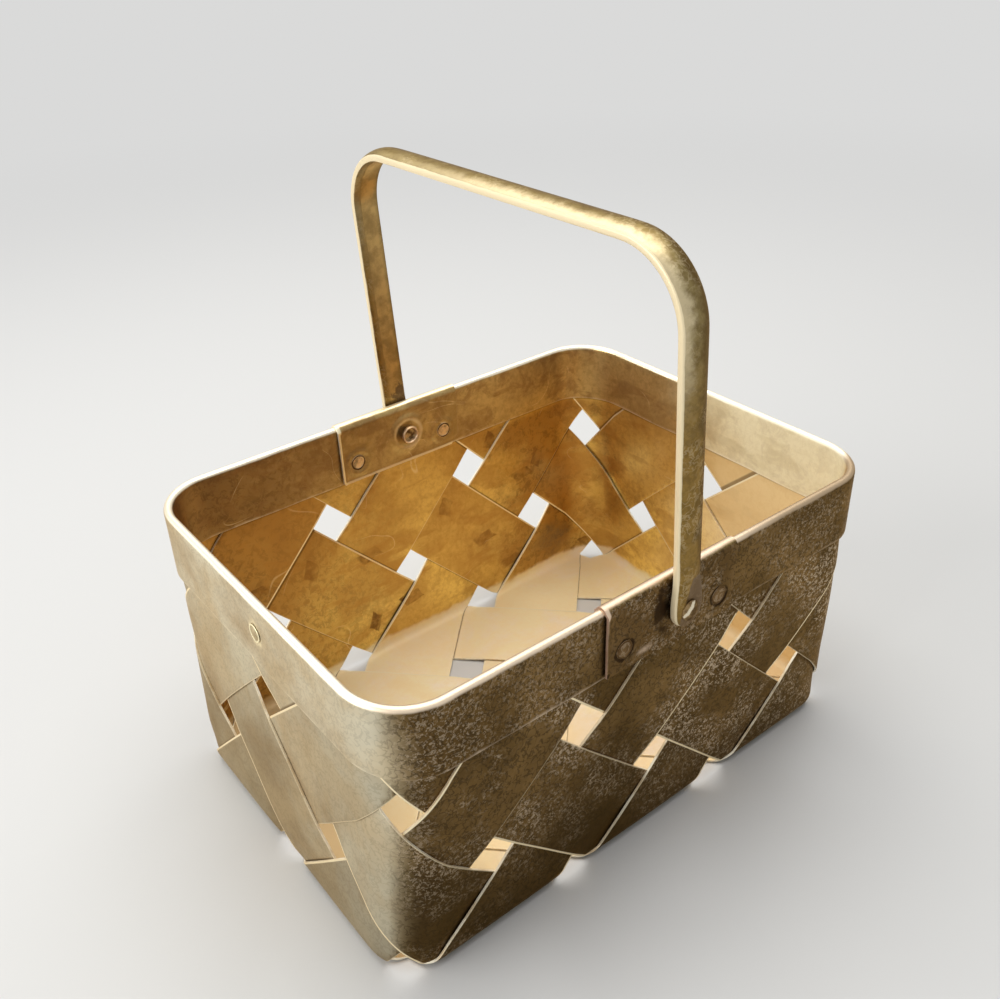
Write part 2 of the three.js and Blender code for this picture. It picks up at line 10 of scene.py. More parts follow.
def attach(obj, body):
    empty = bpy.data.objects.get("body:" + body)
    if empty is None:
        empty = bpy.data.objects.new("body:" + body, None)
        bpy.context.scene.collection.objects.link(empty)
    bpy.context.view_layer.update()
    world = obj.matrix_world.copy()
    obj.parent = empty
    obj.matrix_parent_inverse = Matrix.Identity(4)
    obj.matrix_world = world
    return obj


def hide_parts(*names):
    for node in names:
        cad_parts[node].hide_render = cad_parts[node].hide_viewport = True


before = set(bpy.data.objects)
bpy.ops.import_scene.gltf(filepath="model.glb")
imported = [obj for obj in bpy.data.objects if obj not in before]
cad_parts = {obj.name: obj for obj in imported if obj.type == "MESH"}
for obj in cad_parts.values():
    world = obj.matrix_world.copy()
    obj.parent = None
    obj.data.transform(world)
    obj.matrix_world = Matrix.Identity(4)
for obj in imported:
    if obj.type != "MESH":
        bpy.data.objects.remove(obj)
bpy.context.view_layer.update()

# Sizes of the basket in metres.
MM = 0.001
CELL_LENGTH = 74 * MM
CELL_WIDTH = 75 * MM
CELL_HEIGHT = 75 * MM
CELLS_LONG = 3
CELLS_WIDE = 2
STRIPS = CELLS_LONG + CELLS_WIDE
STRIP_SHARE = 0.75
STRIP_UNEVENNESS = 0.018
SHEET = 0.6 * MM
LAYER_GAP = 0.4 * MM
STRIP_SHEET = 0.85 * MM
WAVE_FLATNESS = 2.4
OUTER_LIFT = 0.375 * MM
INNER_LIFT = 0.5 * MM
FREE_BULGE = 0.22 * MM
FOLD_BULGE = 0.5 * MM
FOLD_RADIUS = 4.5 * MM
BASE_CORNER = 17 * MM
RIM_CORNER = 20.5 * MM
LONG_WALL_FLARE = 4.6 * MM
END_WALL_FLARE = -2.1 * MM
RIM_HEIGHT = 119 * MM
BAND_BOTTOM = RIM_HEIGHT - 26.5 * MM
PLATE_LENGTH = 61 * MM
PLATE_SHEET = 0.8 * MM
PLATE_CLIP = 4 * MM
PLATE_CUT = 0.9 * MM
PLATE_RIVET_X = 22 * MM
PLATE_RIVET_Z = BAND_BOTTOM + 8.5 * MM
BAND_MARK_Y = -5 * MM
BAND_MARK_Z = BAND_BOTTOM + 14 * MM
PIVOT_X = 3.5 * MM
PIVOT_Z = 106 * MM
BAIL_TOP = 229 * MM
BAIL_WIDTH = 10.6 * MM
BAIL_THICKNESS = 4 * MM
BAIL_CORNER = 26 * MM
BAIL_LEAN = math.radians(-3.4)
LUG_RADIUS = 6.4 * MM
LUG_THICKNESS = 2.8 * MM
LUG_BLEND = 16 * MM
SHEET_ANGLE = 40
ROUND_ANGLE = 50

HALF_LENGTH = CELLS_LONG * CELL_LENGTH / 2
HALF_WIDTH = CELLS_WIDE * CELL_WIDTH / 2
HALF_STACK = SHEET + LAYER_GAP / 2
BASE_LIFT = HALF_STACK
BAND_MIDDLE = HALF_STACK + 0.3 * MM + SHEET / 2
BAND_OUTER = BAND_MIDDLE + SHEET / 2
PLATE_MIDDLE = BAND_OUTER + 0.05 * MM + PLATE_SHEET / 2
PLATE_OUTER = PLATE_MIDDLE + PLATE_SHEET / 2
LONG_WALL = HALF_WIDTH + LONG_WALL_FLARE
END_WALL = HALF_LENGTH + END_WALL_FLARE
LUG_INNER = LONG_WALL + PLATE_OUTER + 0.8 * MM
STRIP_TOP = (RIM_HEIGHT - BAND_OUTER - 0.3 * MM - BASE_LIFT) / CELL_HEIGHT


def clamp(value, low, high):
    return min(max(value, low), high)


def smooth(value, start, end):
    """0 before the start, 1 beyond the end and a smooth rise between them."""
    t = clamp((value - start) / (end - start), 0, 1)
    return t * t * (3 - 2 * t)


def bell(value, middle, width):
    """1 at the middle, with a soft fall to 0 on both sides."""
    return math.exp(-(((value - middle) / width) ** 2))


def ripple(x, y, z, size, seed):
    """Slow unevenness of hand-worked sheet, from about -1 to 1."""
    place = (x / size + seed * 7.3, y / size - seed * 3.1, z / size + seed * 5.7)
    return noise.noise(Vector(place))


def flare_share(height):
    share = clamp(height / (BAND_BOTTOM - BASE_LIFT), 0, 1)
    return (1 - math.cos(math.pi * share)) / 2


def sheet_point(a, b, offset):
    """A point of the folded weave. The weave is laid out flat in cells: a along the basket and b
    across it, the base from (0, 0) to (CELLS_LONG, CELLS_WIDE), the walls beyond its edges. Beyond
    a corner the larger distance is the height, and the smaller one runs on round the corner."""
    out_a = max(-a, a - CELLS_LONG, 0)
    out_b = max(-b, b - CELLS_WIDE, 0)
    wrap = min(out_a, out_b)
    x = clamp(a, 0, CELLS_LONG) * CELL_LENGTH - HALF_LENGTH
    y = clamp(b, 0, CELLS_WIDE) * CELL_WIDTH - HALF_WIDTH
    if wrap > 0 and out_b > out_a:
        y -= math.copysign(wrap * CELL_WIDTH, y)
    elif wrap > 0:
        x -= math.copysign(wrap * CELL_LENGTH, x)
    sharp_height = max(out_a, out_b) * CELL_HEIGHT
    inset_x = HALF_LENGTH - abs(x)
    inset_y = HALF_WIDTH - abs(y)
    sharp_depth = min(inset_x, inset_y)

    # The fold between base and wall.
    depth, height = sharp_depth, sharp_height
    outward = 1 if sharp_height > 0 else 0
    downward = 1 - outward
    if sharp_depth < FOLD_RADIUS and sharp_height < FOLD_RADIUS:
        in_x = FOLD_RADIUS - sharp_depth
        in_z = FOLD_RADIUS - sharp_height
        reach = math.hypot(in_x, in_z)
        outward, downward = in_x / reach, in_z / reach
        depth = FOLD_RADIUS * (1 - outward)
        height = FOLD_RADIUS * (1 - downward)

    # The upright corner.
    share = flare_share(height)
    radius = BASE_CORNER + (RIM_CORNER - BASE_CORNER) * share
    corner_x = radius - inset_x
    corner_y = radius - inset_y
    along_x = 1 if inset_x <= inset_y else 0
    along_y = 1 - along_x
    place_x = HALF_LENGTH - depth if along_x else abs(x)
    place_y = HALF_WIDTH - depth if along_y else abs(y)
    if corner_x > 0 and corner_y > 0:
        turn = min(corner_x, corner_y) / max(corner_x, corner_y) * math.pi / 4
        angle = turn if corner_x >= corner_y else math.pi / 2 - turn
        along_x, along_y = math.cos(angle), math.sin(angle)
        place_x = HALF_LENGTH - radius + (radius - depth) * along_x
        place_y = HALF_WIDTH - radius + (radius - depth) * along_y
    place_x *= 1 + share * END_WALL_FLARE / HALF_LENGTH
    place_y *= 1 + share * LONG_WALL_FLARE / HALF_WIDTH
    return Vector((
        math.copysign(place_x + offset * outward * along_x, x),
        math.copysign(place_y + offset * outward * along_y, y),
        BASE_LIFT + height - offset * downward,
    ))


# Modelling steps.
def take_new(name):
    piece = bpy.context.active_object
    piece.name = name
    piece.data.name = name
    return piece


def pick(piece):
    bpy.ops.object.select_all(action="DESELECT")
    piece.select_set(True)
    bpy.context.view_layer.objects.active = piece


def edit(piece):
    pick(piece)
    bpy.ops.object.mode_set(mode="EDIT")


def leave():
    bpy.ops.object.mode_set(mode="OBJECT")


def on_whole(piece, step, **values):
    """Does one mesh step to the whole of a piece."""
    edit(piece)
    bpy.ops.mesh.select_all(action="SELECT")
    step(**values)
    leave()


def modify(piece, kind, **values):
    pick(piece)
    modifier = piece.modifiers.new(kind.lower(), kind)
    for key, value in values.items():
        setattr(modifier, key, value)
    bpy.ops.object.modifier_apply(modifier=modifier.name)


def flat_sheet(name, lines_x, lines_y):
    """A flat sheet with grid lines at the given places."""
    across, up = len(lines_x) - 1, len(lines_y) - 1
    bpy.ops.mesh.primitive_grid_add(x_subdivisions=across, y_subdivisions=up, size=2)
    sheet = take_new(name)
    for v in sheet.data.vertices:
        v.co.x = lines_x[round((v.co.x + 1) / 2 * across)]
        v.co.y = lines_y[round((v.co.y + 1) / 2 * up)]
    return sheet


def trim(sheet, point, outward):
    """Cuts the flat sheet along a line and drops the part on the outward side."""
    across = Vector((*outward, 0)).normalized()
    cut = {"plane_co": (*point, 0), "plane_no": across, "clear_outer": True, "threshold": 1e-4}
    on_whole(sheet, bpy.ops.mesh.bisect, **cut)


def map_sheet(sheet, place):
    """Stores the flat place of each point as its UV map, then moves it to its real place."""
    layer = sheet.data.uv_layers[0]
    layer.name = "flat"
    for loop in sheet.data.loops:
        flat = sheet.data.vertices[loop.vertex_index].co
        layer.data[loop.index].uv = (flat.x, flat.y)
    for v in sheet.data.vertices:
        v.co = place(v.co.x, v.co.y)
    on_whole(sheet, bpy.ops.mesh.remove_doubles, threshold=0.02 * MM)


def paint(piece, name, value_of):
    layer = piece.data.attributes.new(name, "FLOAT", "POINT")
    for v in piece.data.vertices:
        layer.data[v.index].value = value_of(v.co)


def give_materials(piece, *materials):
    piece.data.materials.clear()
    for material in materials:
        piece.data.materials.append(material)


def thicken(sheet, thickness, materials, **bevel):
    """Makes a sheet thick. Its two faces and its cut edges take a material each, and its edges
    are bevelled where values for that are given."""
    give_materials(sheet, *materials)
    faces = {"offset": 0, "material_offset": 1, "material_offset_rim": 2}
    modify(sheet, "SOLIDIFY", thickness=thickness, **faces)
    if bevel:
        modify(sheet, "BEVEL", limit_method="ANGLE", angle_limit=math.radians(60), **bevel)


def settle(piece, degrees, body, slot, *nodes):
    """Ends the making of a piece: faces within an angle of each other are shaded smooth, it gets
    its body, and the imported parts that it stands for are hidden. The finish slot is not used."""
    pick(piece)
    bpy.ops.object.shade_smooth_by_angle(angle=math.radians(degrees))
    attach(piece, body)
    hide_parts(*nodes)


# Tones of the brass, of what lies on it and of what rubs it bright, and tones of painted light and
# shade.
BROWN_SHINE = (0.88, 0.69, 0.48)
FLECK = (0.66, 0.54, 0.39)
WORN_AND_HIGHLIGHT = (0.98, 0.86, 0.6)
GAP_SHADE = (0.07, 0.035, 0.012)
BROWN_CLOUD = (0.34, 0.21, 0.08)
WARM_PATCH = (0.62, 0.5, 0.31)
DARK_FOOT = (0.035, 0.02, 0.007)
DARK_PATCH = (0.05, 0.03, 0.012)
DARK_THREAD = (0.035, 0.022, 0.01)
STRIP_SHADE = (0.08, 0.05, 0.02)
PINK_SHEEN = (1, 0.89, 0.8)
CORNER_SHADE = (0.22, 0.12, 0.045)
MOTTLE = (0.17, 0.1, 0.04)
GREY_SPOT = (0.2, 0.14, 0.075)
OPENING_REFLECTION = (0.13, 0.075, 0.03)
SCRATCH = (1, 0.86, 0.52)
BASE_BROWN = (0.42, 0.28, 0.12)
BAND_BLOTCH = (0.27, 0.15, 0.06)
RIM_RIGHT = (0.5, 0.38, 0.25)
CREVICE = (0.022, 0.011, 0.006)
RUBBED_SPOT = (0.98, 0.88, 0.6)
STUB_RING = (0.9, 0.66, 0.44)
HAMMERED = ((0.16, 0.09, 0.034), (0.45, 0.31, 0.16))

# Where painted shade browns the far wall's inside round its right corner, and where a grey spot
# lies low down beside it.
SHADED_CORNER = (82 * MM, 80 * MM)
SPOT_PLACE = (83 * MM, 18 * MM)


class Finish:
    """One brass finish, put together from pattern and mixing nodes."""

    def __init__(self, name, metal=0.85, shine=BROWN_SHINE):
        self.material = bpy.data.materials.new(name)
        self.material.use_nodes = True
        self.tree = self.material.node_tree
        self.shader = self.tree.nodes["Principled BSDF"]
        self.set("Metallic", metal)
        self.set("Specular Tint", shine)
        self.places = self.add("ShaderNodeTexCoord").outputs
        self.along, self.depth, self.height = self.parts_of(self.places["Object"])
        self.facing = self.parts_of(self.places["Normal"])
        self.tone = None

    def add(self, kind, entries=None, **values):
        """A new node with its own values, and with entries for its sockets by name or number."""
        node = self.tree.nodes.new(kind)
        for key, value in values.items():
            setattr(node, key, value)
        for key, value in (entries or {}).items():
            self.put(node.inputs[key], value)
        return node

    def put(self, socket, value):
        if isinstance(value, bpy.types.NodeSocket):
            self.tree.links.new(value, socket)
        elif socket.type == "RGBA":
            tone = value if isinstance(value, tuple) else (value,) * 3
            socket.default_value = (*tone, 1)
        else:
            socket.default_value = value

    def set(self, name, value):
        self.put(self.shader.inputs[name], value)

    def noise(self, scale, detail=4, roughness=0.6, distortion=0, place=None):
        return self.add("ShaderNodeTexNoise", {
            "Vector": place or self.places["Object"],
            "Scale": scale,
            "Detail": detail,
            "Roughness": roughness,
            "Distortion": distortion,
        }).outputs[0]

    def stretched(self, place, scale, turn=(0, 0, 0)):
        entries = {"Vector": place, "Rotation": turn, "Scale": scale}
        return self.add("ShaderNodeMapping", entries).outputs[0]

    def ranged(self, value, low, high, to_low=0, to_high=1):
        """The value, carried over from one range to another in a smooth curve."""
        names = ("Value", "From Min", "From Max", "To Min", "To Max")
        entries = dict(zip(names, (value, low, high, to_low, to_high)))
        return self.add("ShaderNodeMapRange", entries, interpolation_type="SMOOTHSTEP").outputs[0]

    def math(self, operation, *values):
        return self.add("ShaderNodeMath", dict(enumerate(values)), operation=operation).outputs[0]

    def times(self, first, *others):
        for value in others:
            first = self.math("MULTIPLY", first, value)
        return first

    def most(self, first, second):
        return self.math("MAXIMUM", first, second)

    def apart(self, value, place):
        return self.math("ABSOLUTE", self.math("SUBTRACT", value, place))

    def pushed(self, value, reach, *pattern):
        """The value, raised unevenly by up to the reach."""
        return self.math("MULTIPLY_ADD", self.noise(*pattern), reach, value)

    def patches(self, low, high, strength, *pattern):
        """Up to the strength, where the pattern rises from low to high."""
        return self.ranged(self.noise(*pattern), low, high, 0, strength)

    def uneven(self, low, high, *pattern):
        """A value that wanders between low and high."""
        return self.ranged(self.noise(*pattern), 0.3, 0.7, low, high)

    def scattered(self, value, reach, *pattern):
        """The value, raised and lowered unevenly by up to the reach."""
        return self.math("ADD", value, self.uneven(-reach, reach, *pattern))

    def rubbed(self, name, low, high, reach, *pattern):
        """From 0 to 1 where a painted value goes from low to high, with an uneven border."""
        return self.ranged(self.scattered(self.painted(name), reach, *pattern), low, high)

    def threads(self, scale, width, distortion=0):
        """1 along thin wandering lines."""
        away = self.apart(self.noise(scale, 2, 0.5, distortion), 0.5)
        return self.ranged(away, width, 0.2 * width)

    def marks(self, scale, reach, share, stretch, turn):
        """1 inside a few scattered marks with square corners."""
        waves = self.add("ShaderNodeTexNoise", {"Vector": self.places["Object"], "Scale": 170})
        sway = (3 * MM, 3 * MM, 3 * MM)
        entries = {0: waves.outputs["Color"], 1: sway, 2: self.places["Object"]}
        place = self.add("ShaderNodeVectorMath", entries, operation="MULTIPLY_ADD").outputs[0]
        entries = {"Vector": self.stretched(place, stretch, turn), "Scale": scale}
        cells = self.add("ShaderNodeTexVoronoi", entries, distance="CHEBYCHEV").outputs
        inside = self.ranged(cells["Distance"], reach, 0.8 * reach)
        chosen = self.ranged(self.parts_of(cells["Color"])[0], 1 - share, 1.03 - share)
        return self.times(inside, chosen)

    def mix(self, share, first, second):
        entries = {0: share, 6: first, 7: second}
        return self.add("ShaderNodeMix", entries, data_type="RGBA").outputs[2]

    def parts_of(self, vector):
        return self.add("ShaderNodeSeparateXYZ", {0: vector}).outputs

    def painted(self, name):
        """A value stored on the points of the piece."""
        return self.add("ShaderNodeAttribute", attribute_name=name).outputs["Fac"]

    def lay(self, colour, *shares):
        """Lays a colour over the tone, as strongly as all the shares together."""
        self.tone = self.mix(self.times(*shares), self.tone, colour)

    def end(self, roughness, grain=None, depth=0):
        """Puts the tone and roughness in place, with a fine relief of that grain and depth."""
        self.set("Base Color", self.tone)
        self.set("Roughness", roughness)
        if grain:
            relief = {"Height": self.noise(grain), "Distance": depth}
            self.set("Normal", self.add("ShaderNodeBump", relief).outputs[0])
        return self.material


def left_share(f):
    return f.ranged(f.facing[0], -0.35, -0.9)


def walls_of(f, other, left, front, turned=0.35):
    """A tone for faces that face left, one for those that face the front and one for the rest,
    picked by the way each face points; the finishes paint light and shade by side with it. The
    share of the rest's tone in the corners grows with the turned value."""
    tone = other
    for axis, value in enumerate((left, front)):
        tone = f.mix(f.ranged(f.facing[axis], -turned, -0.9), tone, value)
    return tone


def tarnish(f, front, left, other, flecked=1):
    """Lays the tone of aged outer brass with pale and dark flecks, and returns its roughness. Light
    and shade are painted by side: the left pale grey-green as if lit, the front dark brown as if in
    shade."""
    strength = walls_of(f, (0.4, 0.3, 0), (0.3, 0.14, 0), (0.85, 0.6, 0), 0.5)
    pale_share, dark_share, _ = f.parts_of(strength)
    # Painted light and shade: the left side pale as if lit, the front dark as if in shade.
    f.tone = walls_of(f, other, left, front, 0.5)
    clouds = f.noise(24)
    f.lay(BROWN_CLOUD, f.ranged(clouds, 0.35, 0.68, 0, 0.6))
    f.lay(WARM_PATCH, f.patches(0.45, 0.6, 0.55, 19, 4, 0.6, 0.5), left_share(f))
    clouded = f.math("MULTIPLY_ADD", clouds, 0.05, f.height)
    low = f.math("MULTIPLY_ADD", f.along, 0.35, clouded)
    f.lay(DARK_FOOT, f.ranged(low, 0.085, 0.02, 0, 0.9), dark_share)
    f.lay(DARK_PATCH, f.patches(0.35, 0.68, 0.6, 90), dark_share)
    f.lay(DARK_THREAD, f.threads(380, 0.06, 0.4), dark_share)
    lines = f.times(f.threads(620, 0.1, 0.8), f.patches(0.47, 0.57, 1, 700, 2, 0.5))
    specks = f.patches(0.6, 0.68, 0.6, 1100, 2, 0.5)
    spread = f.ranged(f.noise(30), 0.42, 0.58, 0.04, flecked)
    higher = f.ranged(low, 0.015, 0.08, 0.4, 1)
    pale = f.times(f.most(lines, specks), spread, pale_share, higher)
    f.lay(FLECK, pale)
    return f.ranged(pale, 0, 0.6, 0.46, 0.6)


def gilding(f, low, far, side, other):
    """Lays the tone of cleaner brass, pale and dull low down and richer up the walls, and returns
    its roughness, metal share and stain. The pale base is painted light from above, and the side
    facing left is painted paler as if lit. Each side is given as its tone and that of its stains."""
    wavy = f.pushed(f.height, 0.008, 60, 3, 0.6)
    up = f.ranged(wavy, 0.0085, 0.0115)
    down = f.ranged(up, 1, 0)
    near = f.ranged(f.pushed(f.depth, 0.05, 35, 3, 0.6), 0.065, 0)
    # Painted light: the base pale as if lit from above, and the side facing left paler.
    f.tone, stain = (
        f.mix(up, low[i], walls_of(f, other[i], f.mix(near, far[i], side[i]), far[i]))
        for i in (0, 1)
    )
    # A painted pink sheen on the base, standing in for a reflection of the light above.
    f.lay(PINK_SHEEN, f.patches(0.42, 0.6, 0.85, 22, 5, 0.7, 0.6), down)

    # Browner higher up the walls and in stained clouds, and painted shade: browner round the far
    # wall's right corner and towards the left.
    from_wall = f.math("SUBTRACT", SHADED_CORNER[1], f.depth)
    to_corner = f.math("ADD", f.apart(f.along, SHADED_CORNER[0]), from_wall)
    to_corner = f.ranged(f.scattered(to_corner, -0.02, 45, 4, 0.65), 0.06, 0.01)
    below_band = f.ranged(f.height, BAND_BOTTOM, BAND_BOTTOM - 4 * MM)
    shaded = f.most(f.times(to_corner, below_band), f.ranged(f.along, 0.02, -0.1, 0, 1.1))
    clouds = f.noise(24, 5, 0.65, 0.4)
    f.lay(stain, f.ranged(f.height, 0.03, 0.095, 0, 0.45), up)
    f.lay(stain, f.ranged(clouds, 0.46, 0.6, 0, 0.52))
    f.lay(f.mix(0.5, stain, CORNER_SHADE), shaded, up, 0.75)
    f.lay(MOTTLE, f.patches(0.47, 0.6, 0.6, 300, 4, 0.75, 0.6), shaded, up)
    from_spot = f.math("ADD", f.apart(f.along, SPOT_PLACE[0]), f.apart(f.height, SPOT_PLACE[1]))
    spot = f.ranged(f.pushed(from_spot, 0.014, 110, 5, 0.7), 0.024, 0.014, 0, 0.75)
    f.lay(GREY_SPOT, spot, f.ranged(f.depth, 0.06, 0.068), up)
    slanting = f.stretched(f.places["Object"], (30, 30, 95), (0, 0.5, 0))
    f.lay(stain, f.patches(0.54, 0.64, 0.5, 1, 3, 0.55, 0.5, slanting))

    # Painted reflections of the openings: dark square marks below the band, and hardly any on the
    # right end wall.
    long_marks = f.marks(44, 0.27, 0.36, (1, 1, 2.1), (0, 0.35, 0))
    short_marks = f.marks(40, 0.2, 0.3, (1.6, 1.6, 1), (0.2, -0.45, 0))
    f.lay(
        f.mix(0.75, stain, OPENING_REFLECTION),
        f.most(long_marks, short_marks),
        f.ranged(f.noise(150), 0.34, 0.6, 0.2, 1),
        f.ranged(up, 0, 1, 0.06, 1),
        f.ranged(f.height, BAND_BOTTOM, BAND_BOTTOM - 2 * MM),
        f.ranged(f.facing[0], -0.75, -0.5, 0.15, 1),
    )

    # Scratches, fine grain, and a darker brown on the base's front and left parts.
    f.lay(SCRATCH, f.threads(17, 0.004, 1.2), f.patches(0.5, 0.6, 0.5, 40, 2, 0.55))
    f.lay(stain, f.threads(260, 0.06, 0.6), 0.18)
    f.lay(stain, f.patches(0.45, 0.66, 0.3, 420, 3, 0.65))
    browner_left = f.ranged(f.along, -0.035, -0.095, 0, 0.9)
    f.lay(BASE_BROWN, f.most(f.ranged(f.depth, 0.02, -0.05, 0, 0.3), browner_left), down)
    dull = f.most(f.times(left_share(f), near), f.ranged(wavy, 0.014, 0.0075))
    rough = f.math("ADD", f.ranged(clouds, 0.3, 0.7, 0.29, 0.4), f.ranged(dull, 0, 1, 0, 0.15))
    return rough, f.ranged(dull, 0, 1, 0.85, 0.08), stain


def beside_edges(f, covered):
    """Edges rubbed bright, with a wider painted highlight on the one that faces the light, and
    painted shade where a strip goes under another one or under the band.
    """
    gap_shade_tone = f.mix(0.2, GAP_SHADE, f.tone)
    across = f.painted("across")
    # Wear and a painted highlight: a wide pale line on the edge facing the light, a thin one on the
    # other.
    left_edge = f.ranged(across, -0.978, -0.99, 0, 0.5)
    f.lay(WORN_AND_HIGHLIGHT, f.most(f.ranged(across, 0.958, 0.972), left_edge))
    # Painted shade beside the strips on top, and below the band's lower edge.
    course = f.math("SUBTRACT", f.painted("course"), covered)
    course = f.math("ABSOLUTE", f.math("WRAP", course, 1, -1))
    at_band = f.ranged(f.height, BAND_BOTTOM - 1.6 * MM, BAND_BOTTOM - 0.2 * MM)
    f.lay(gap_shade_tone, f.most(f.ranged(course, 0.391, 0.376), at_band), 0.8)


def outer_finish(name, *tones):
    f = Finish(name, 0.9)
    rough = tarnish(f, *tones)
    # Tone shifts square by square: the strips' own variation, and painted shade of squares that
    # tilt a little differently.
    f.lay(STRIP_SHADE, f.ranged(f.painted("hue"), -0.3, 0.35, 0, 0.3))
    beside_edges(f, 1.5)
    f.set("Specular IOR Level", 0.25)
    return f.end(rough, 420, 0.06 * MM)


def inner_finish(name, *tones):
    f = Finish(name)
    rough, metal, stain = gilding(f, *tones)
    f.set("Metallic", metal)
    # Tone shifts square by square: the strips' own variation, and painted shade of squares that
    # tilt a little differently.
    f.lay(stain, f.ranged(f.painted("hue"), -0.3, 0.35, 0, 0.5))
    beside_edges(f, 0.5)
    return f.end(rough, 260, 0.05 * MM)


def worn_finish(name, bright, deep, stain, worn):
    """Brass whose ridges and edges have another tone, where the piece's wear value is high."""
    f = Finish(name)
    f.tone = f.mix(f.patches(0.38, 0.62, 1, 30), bright, deep)
    f.lay(stain, f.patches(0.5, 0.65, 0.6, 120))
    f.lay(stain, f.threads(260, 0.06, 0.5), 0.5)
    f.lay(bright, f.threads(300, 0.07, 0.9), f.patches(0.48, 0.58, 0.4, 380, 2, 0.55))
    f.lay(worn, f.rubbed("wear", 0.35, 0.8, 0.25, 140))
    return f.end(f.uneven(0.34, 0.5, 60, 3, 0.55), 260, 0.05 * MM)


def bail_metal(name, light, leg_tone, inside, stain, worn):
    """The bar: olive on its face and dark at the rivets, with a painted highlight of rubbed cream
    on its left and painted shade dark at its right.
    """
    f = Finish(name)
    inner = f.painted("inner")
    on_leg = f.ranged(f.height, 0.212, 0.165)
    patchy = f.times(f.uneven(-0.45, 0.45, 110, 6, 0.72), f.ranged(on_leg, 0, 1, 0.55, 1))
    across = f.math("ADD", f.painted("across"), patchy)
    f.tone = f.mix(on_leg, light, leg_tone)
    # Painted shade: darker towards the bar's right side.
    f.lay(stain, f.ranged(across, f.mix(on_leg, -0.4, 0), f.mix(on_leg, 0.6, 0.9), 0, 0.9))
    f.lay(stain, f.patches(0.42, 0.62, 0.4, 330, 4, 0.65))
    pale = f.times(f.threads(420, 0.07, 0.8), f.ranged(f.noise(60, 3, 0.55), 0.42, 0.6, 0.02, 0.2))
    f.lay(worn, pale)
    stained = f.patches(0.36, 0.64, 1, 120, 5, 0.65)
    f.lay(f.mix(stained, inside, f.mix(0.5, inside, stain)), inner)
    # Darker on the hammered facets and on the inner face near the feet.
    darkened = f.ranged(f.math("ADD", f.painted("darkness"), patchy), 0.35, 0.6, 0, 0.92)
    f.lay(f.mix(pale, *HAMMERED), darkened)
    edge = f.rubbed("wear", 0.35, 0.7, 0.12, 110)
    outside = f.math("SUBTRACT", 1, inner)
    # Painted highlight with wear: rubbed cream on the left half of the top bar, weaker towards its
    # far end.
    top = f.times(
        f.ranged(across, 0, -0.75),
        f.ranged(on_leg, 1, 0, 0, outside),
        f.ranged(f.depth, -0.02, 0.055, 0.9, 0.15),
        0.62,
    )
    f.lay(worn, f.most(edge, top))
    f.set("Metallic", f.mix(f.most(edge, darkened), 0.85, 0.25))
    return f.end(f.uneven(0.34, 0.46, 60, 3, 0.55), 420, 0.06 * MM)


def glinting_finish(name, brass, dark, glint):
    """A battered rivet head: dark brass with one bright streak painted on as a highlight, and
    golden inside the basket.
    """
    f = Finish(name)
    inside = f.ranged(f.math("ABSOLUTE", f.depth), LONG_WALL, LONG_WALL - 1 * MM)
    f.tone = f.mix(inside, f.mix(0.4, dark, brass), brass)
    f.lay(dark, f.patches(0.4, 0.62, 1, 260))
    # A painted highlight: one slanting bright streak across the head.
    slant = f.math("SUBTRACT", f.math("SUBTRACT", f.along, f.height), PIVOT_X - 1.2 * MM - PIVOT_Z)
    off_streak = f.math("ABSOLUTE", f.pushed(slant, 3 * MM, 420, 4, 0.65))
    streak = f.times(
        f.ranged(off_streak, 1 * MM, 0.6 * MM),
        f.patches(0.34, 0.44, 1, 330, 3, 0.6, 0.3),
        f.ranged(inside, 1, 0),
        f.ranged(f.painted("wear"), 0.1, 0.6),
    )
    f.lay(glint, streak)
    f.lay(STUB_RING, f.painted("wear"), inside)
    f.set("Metallic", f.mix(streak, 0.85, 0.4))
    return f.end(f.ranged(streak, 0, 1, 0.45, 0.25), 300, 0.2 * MM)


def headed_finish(name, inside, outside, ring):
    """Hammered rivets with a dark ring painted as the shade round the head, browner outside the
    basket than inside it.
    """
    f = Finish(name)
    reach = f.math("ABSOLUTE", f.depth)
    f.tone = f.mix(f.ranged(reach, LONG_WALL - 0.5 * MM, LONG_WALL + 0.5 * MM), inside, outside)
    blotch = f.patches(0.45, 0.62, 0.6, 230)
    f.lay(ring, blotch)
    f.lay(FLECK, f.threads(330, 0.08, 0.9), 0.25)
    # Painted shade: a dark ring round the edge of the head.
    f.lay(ring, f.rubbed("wear", 0.3, 0.9, 0.3, 200, 3, 0.55))
    return f.end(f.ranged(blotch, 0, 1, 0.36, 0.55), 260, 0.12 * MM)


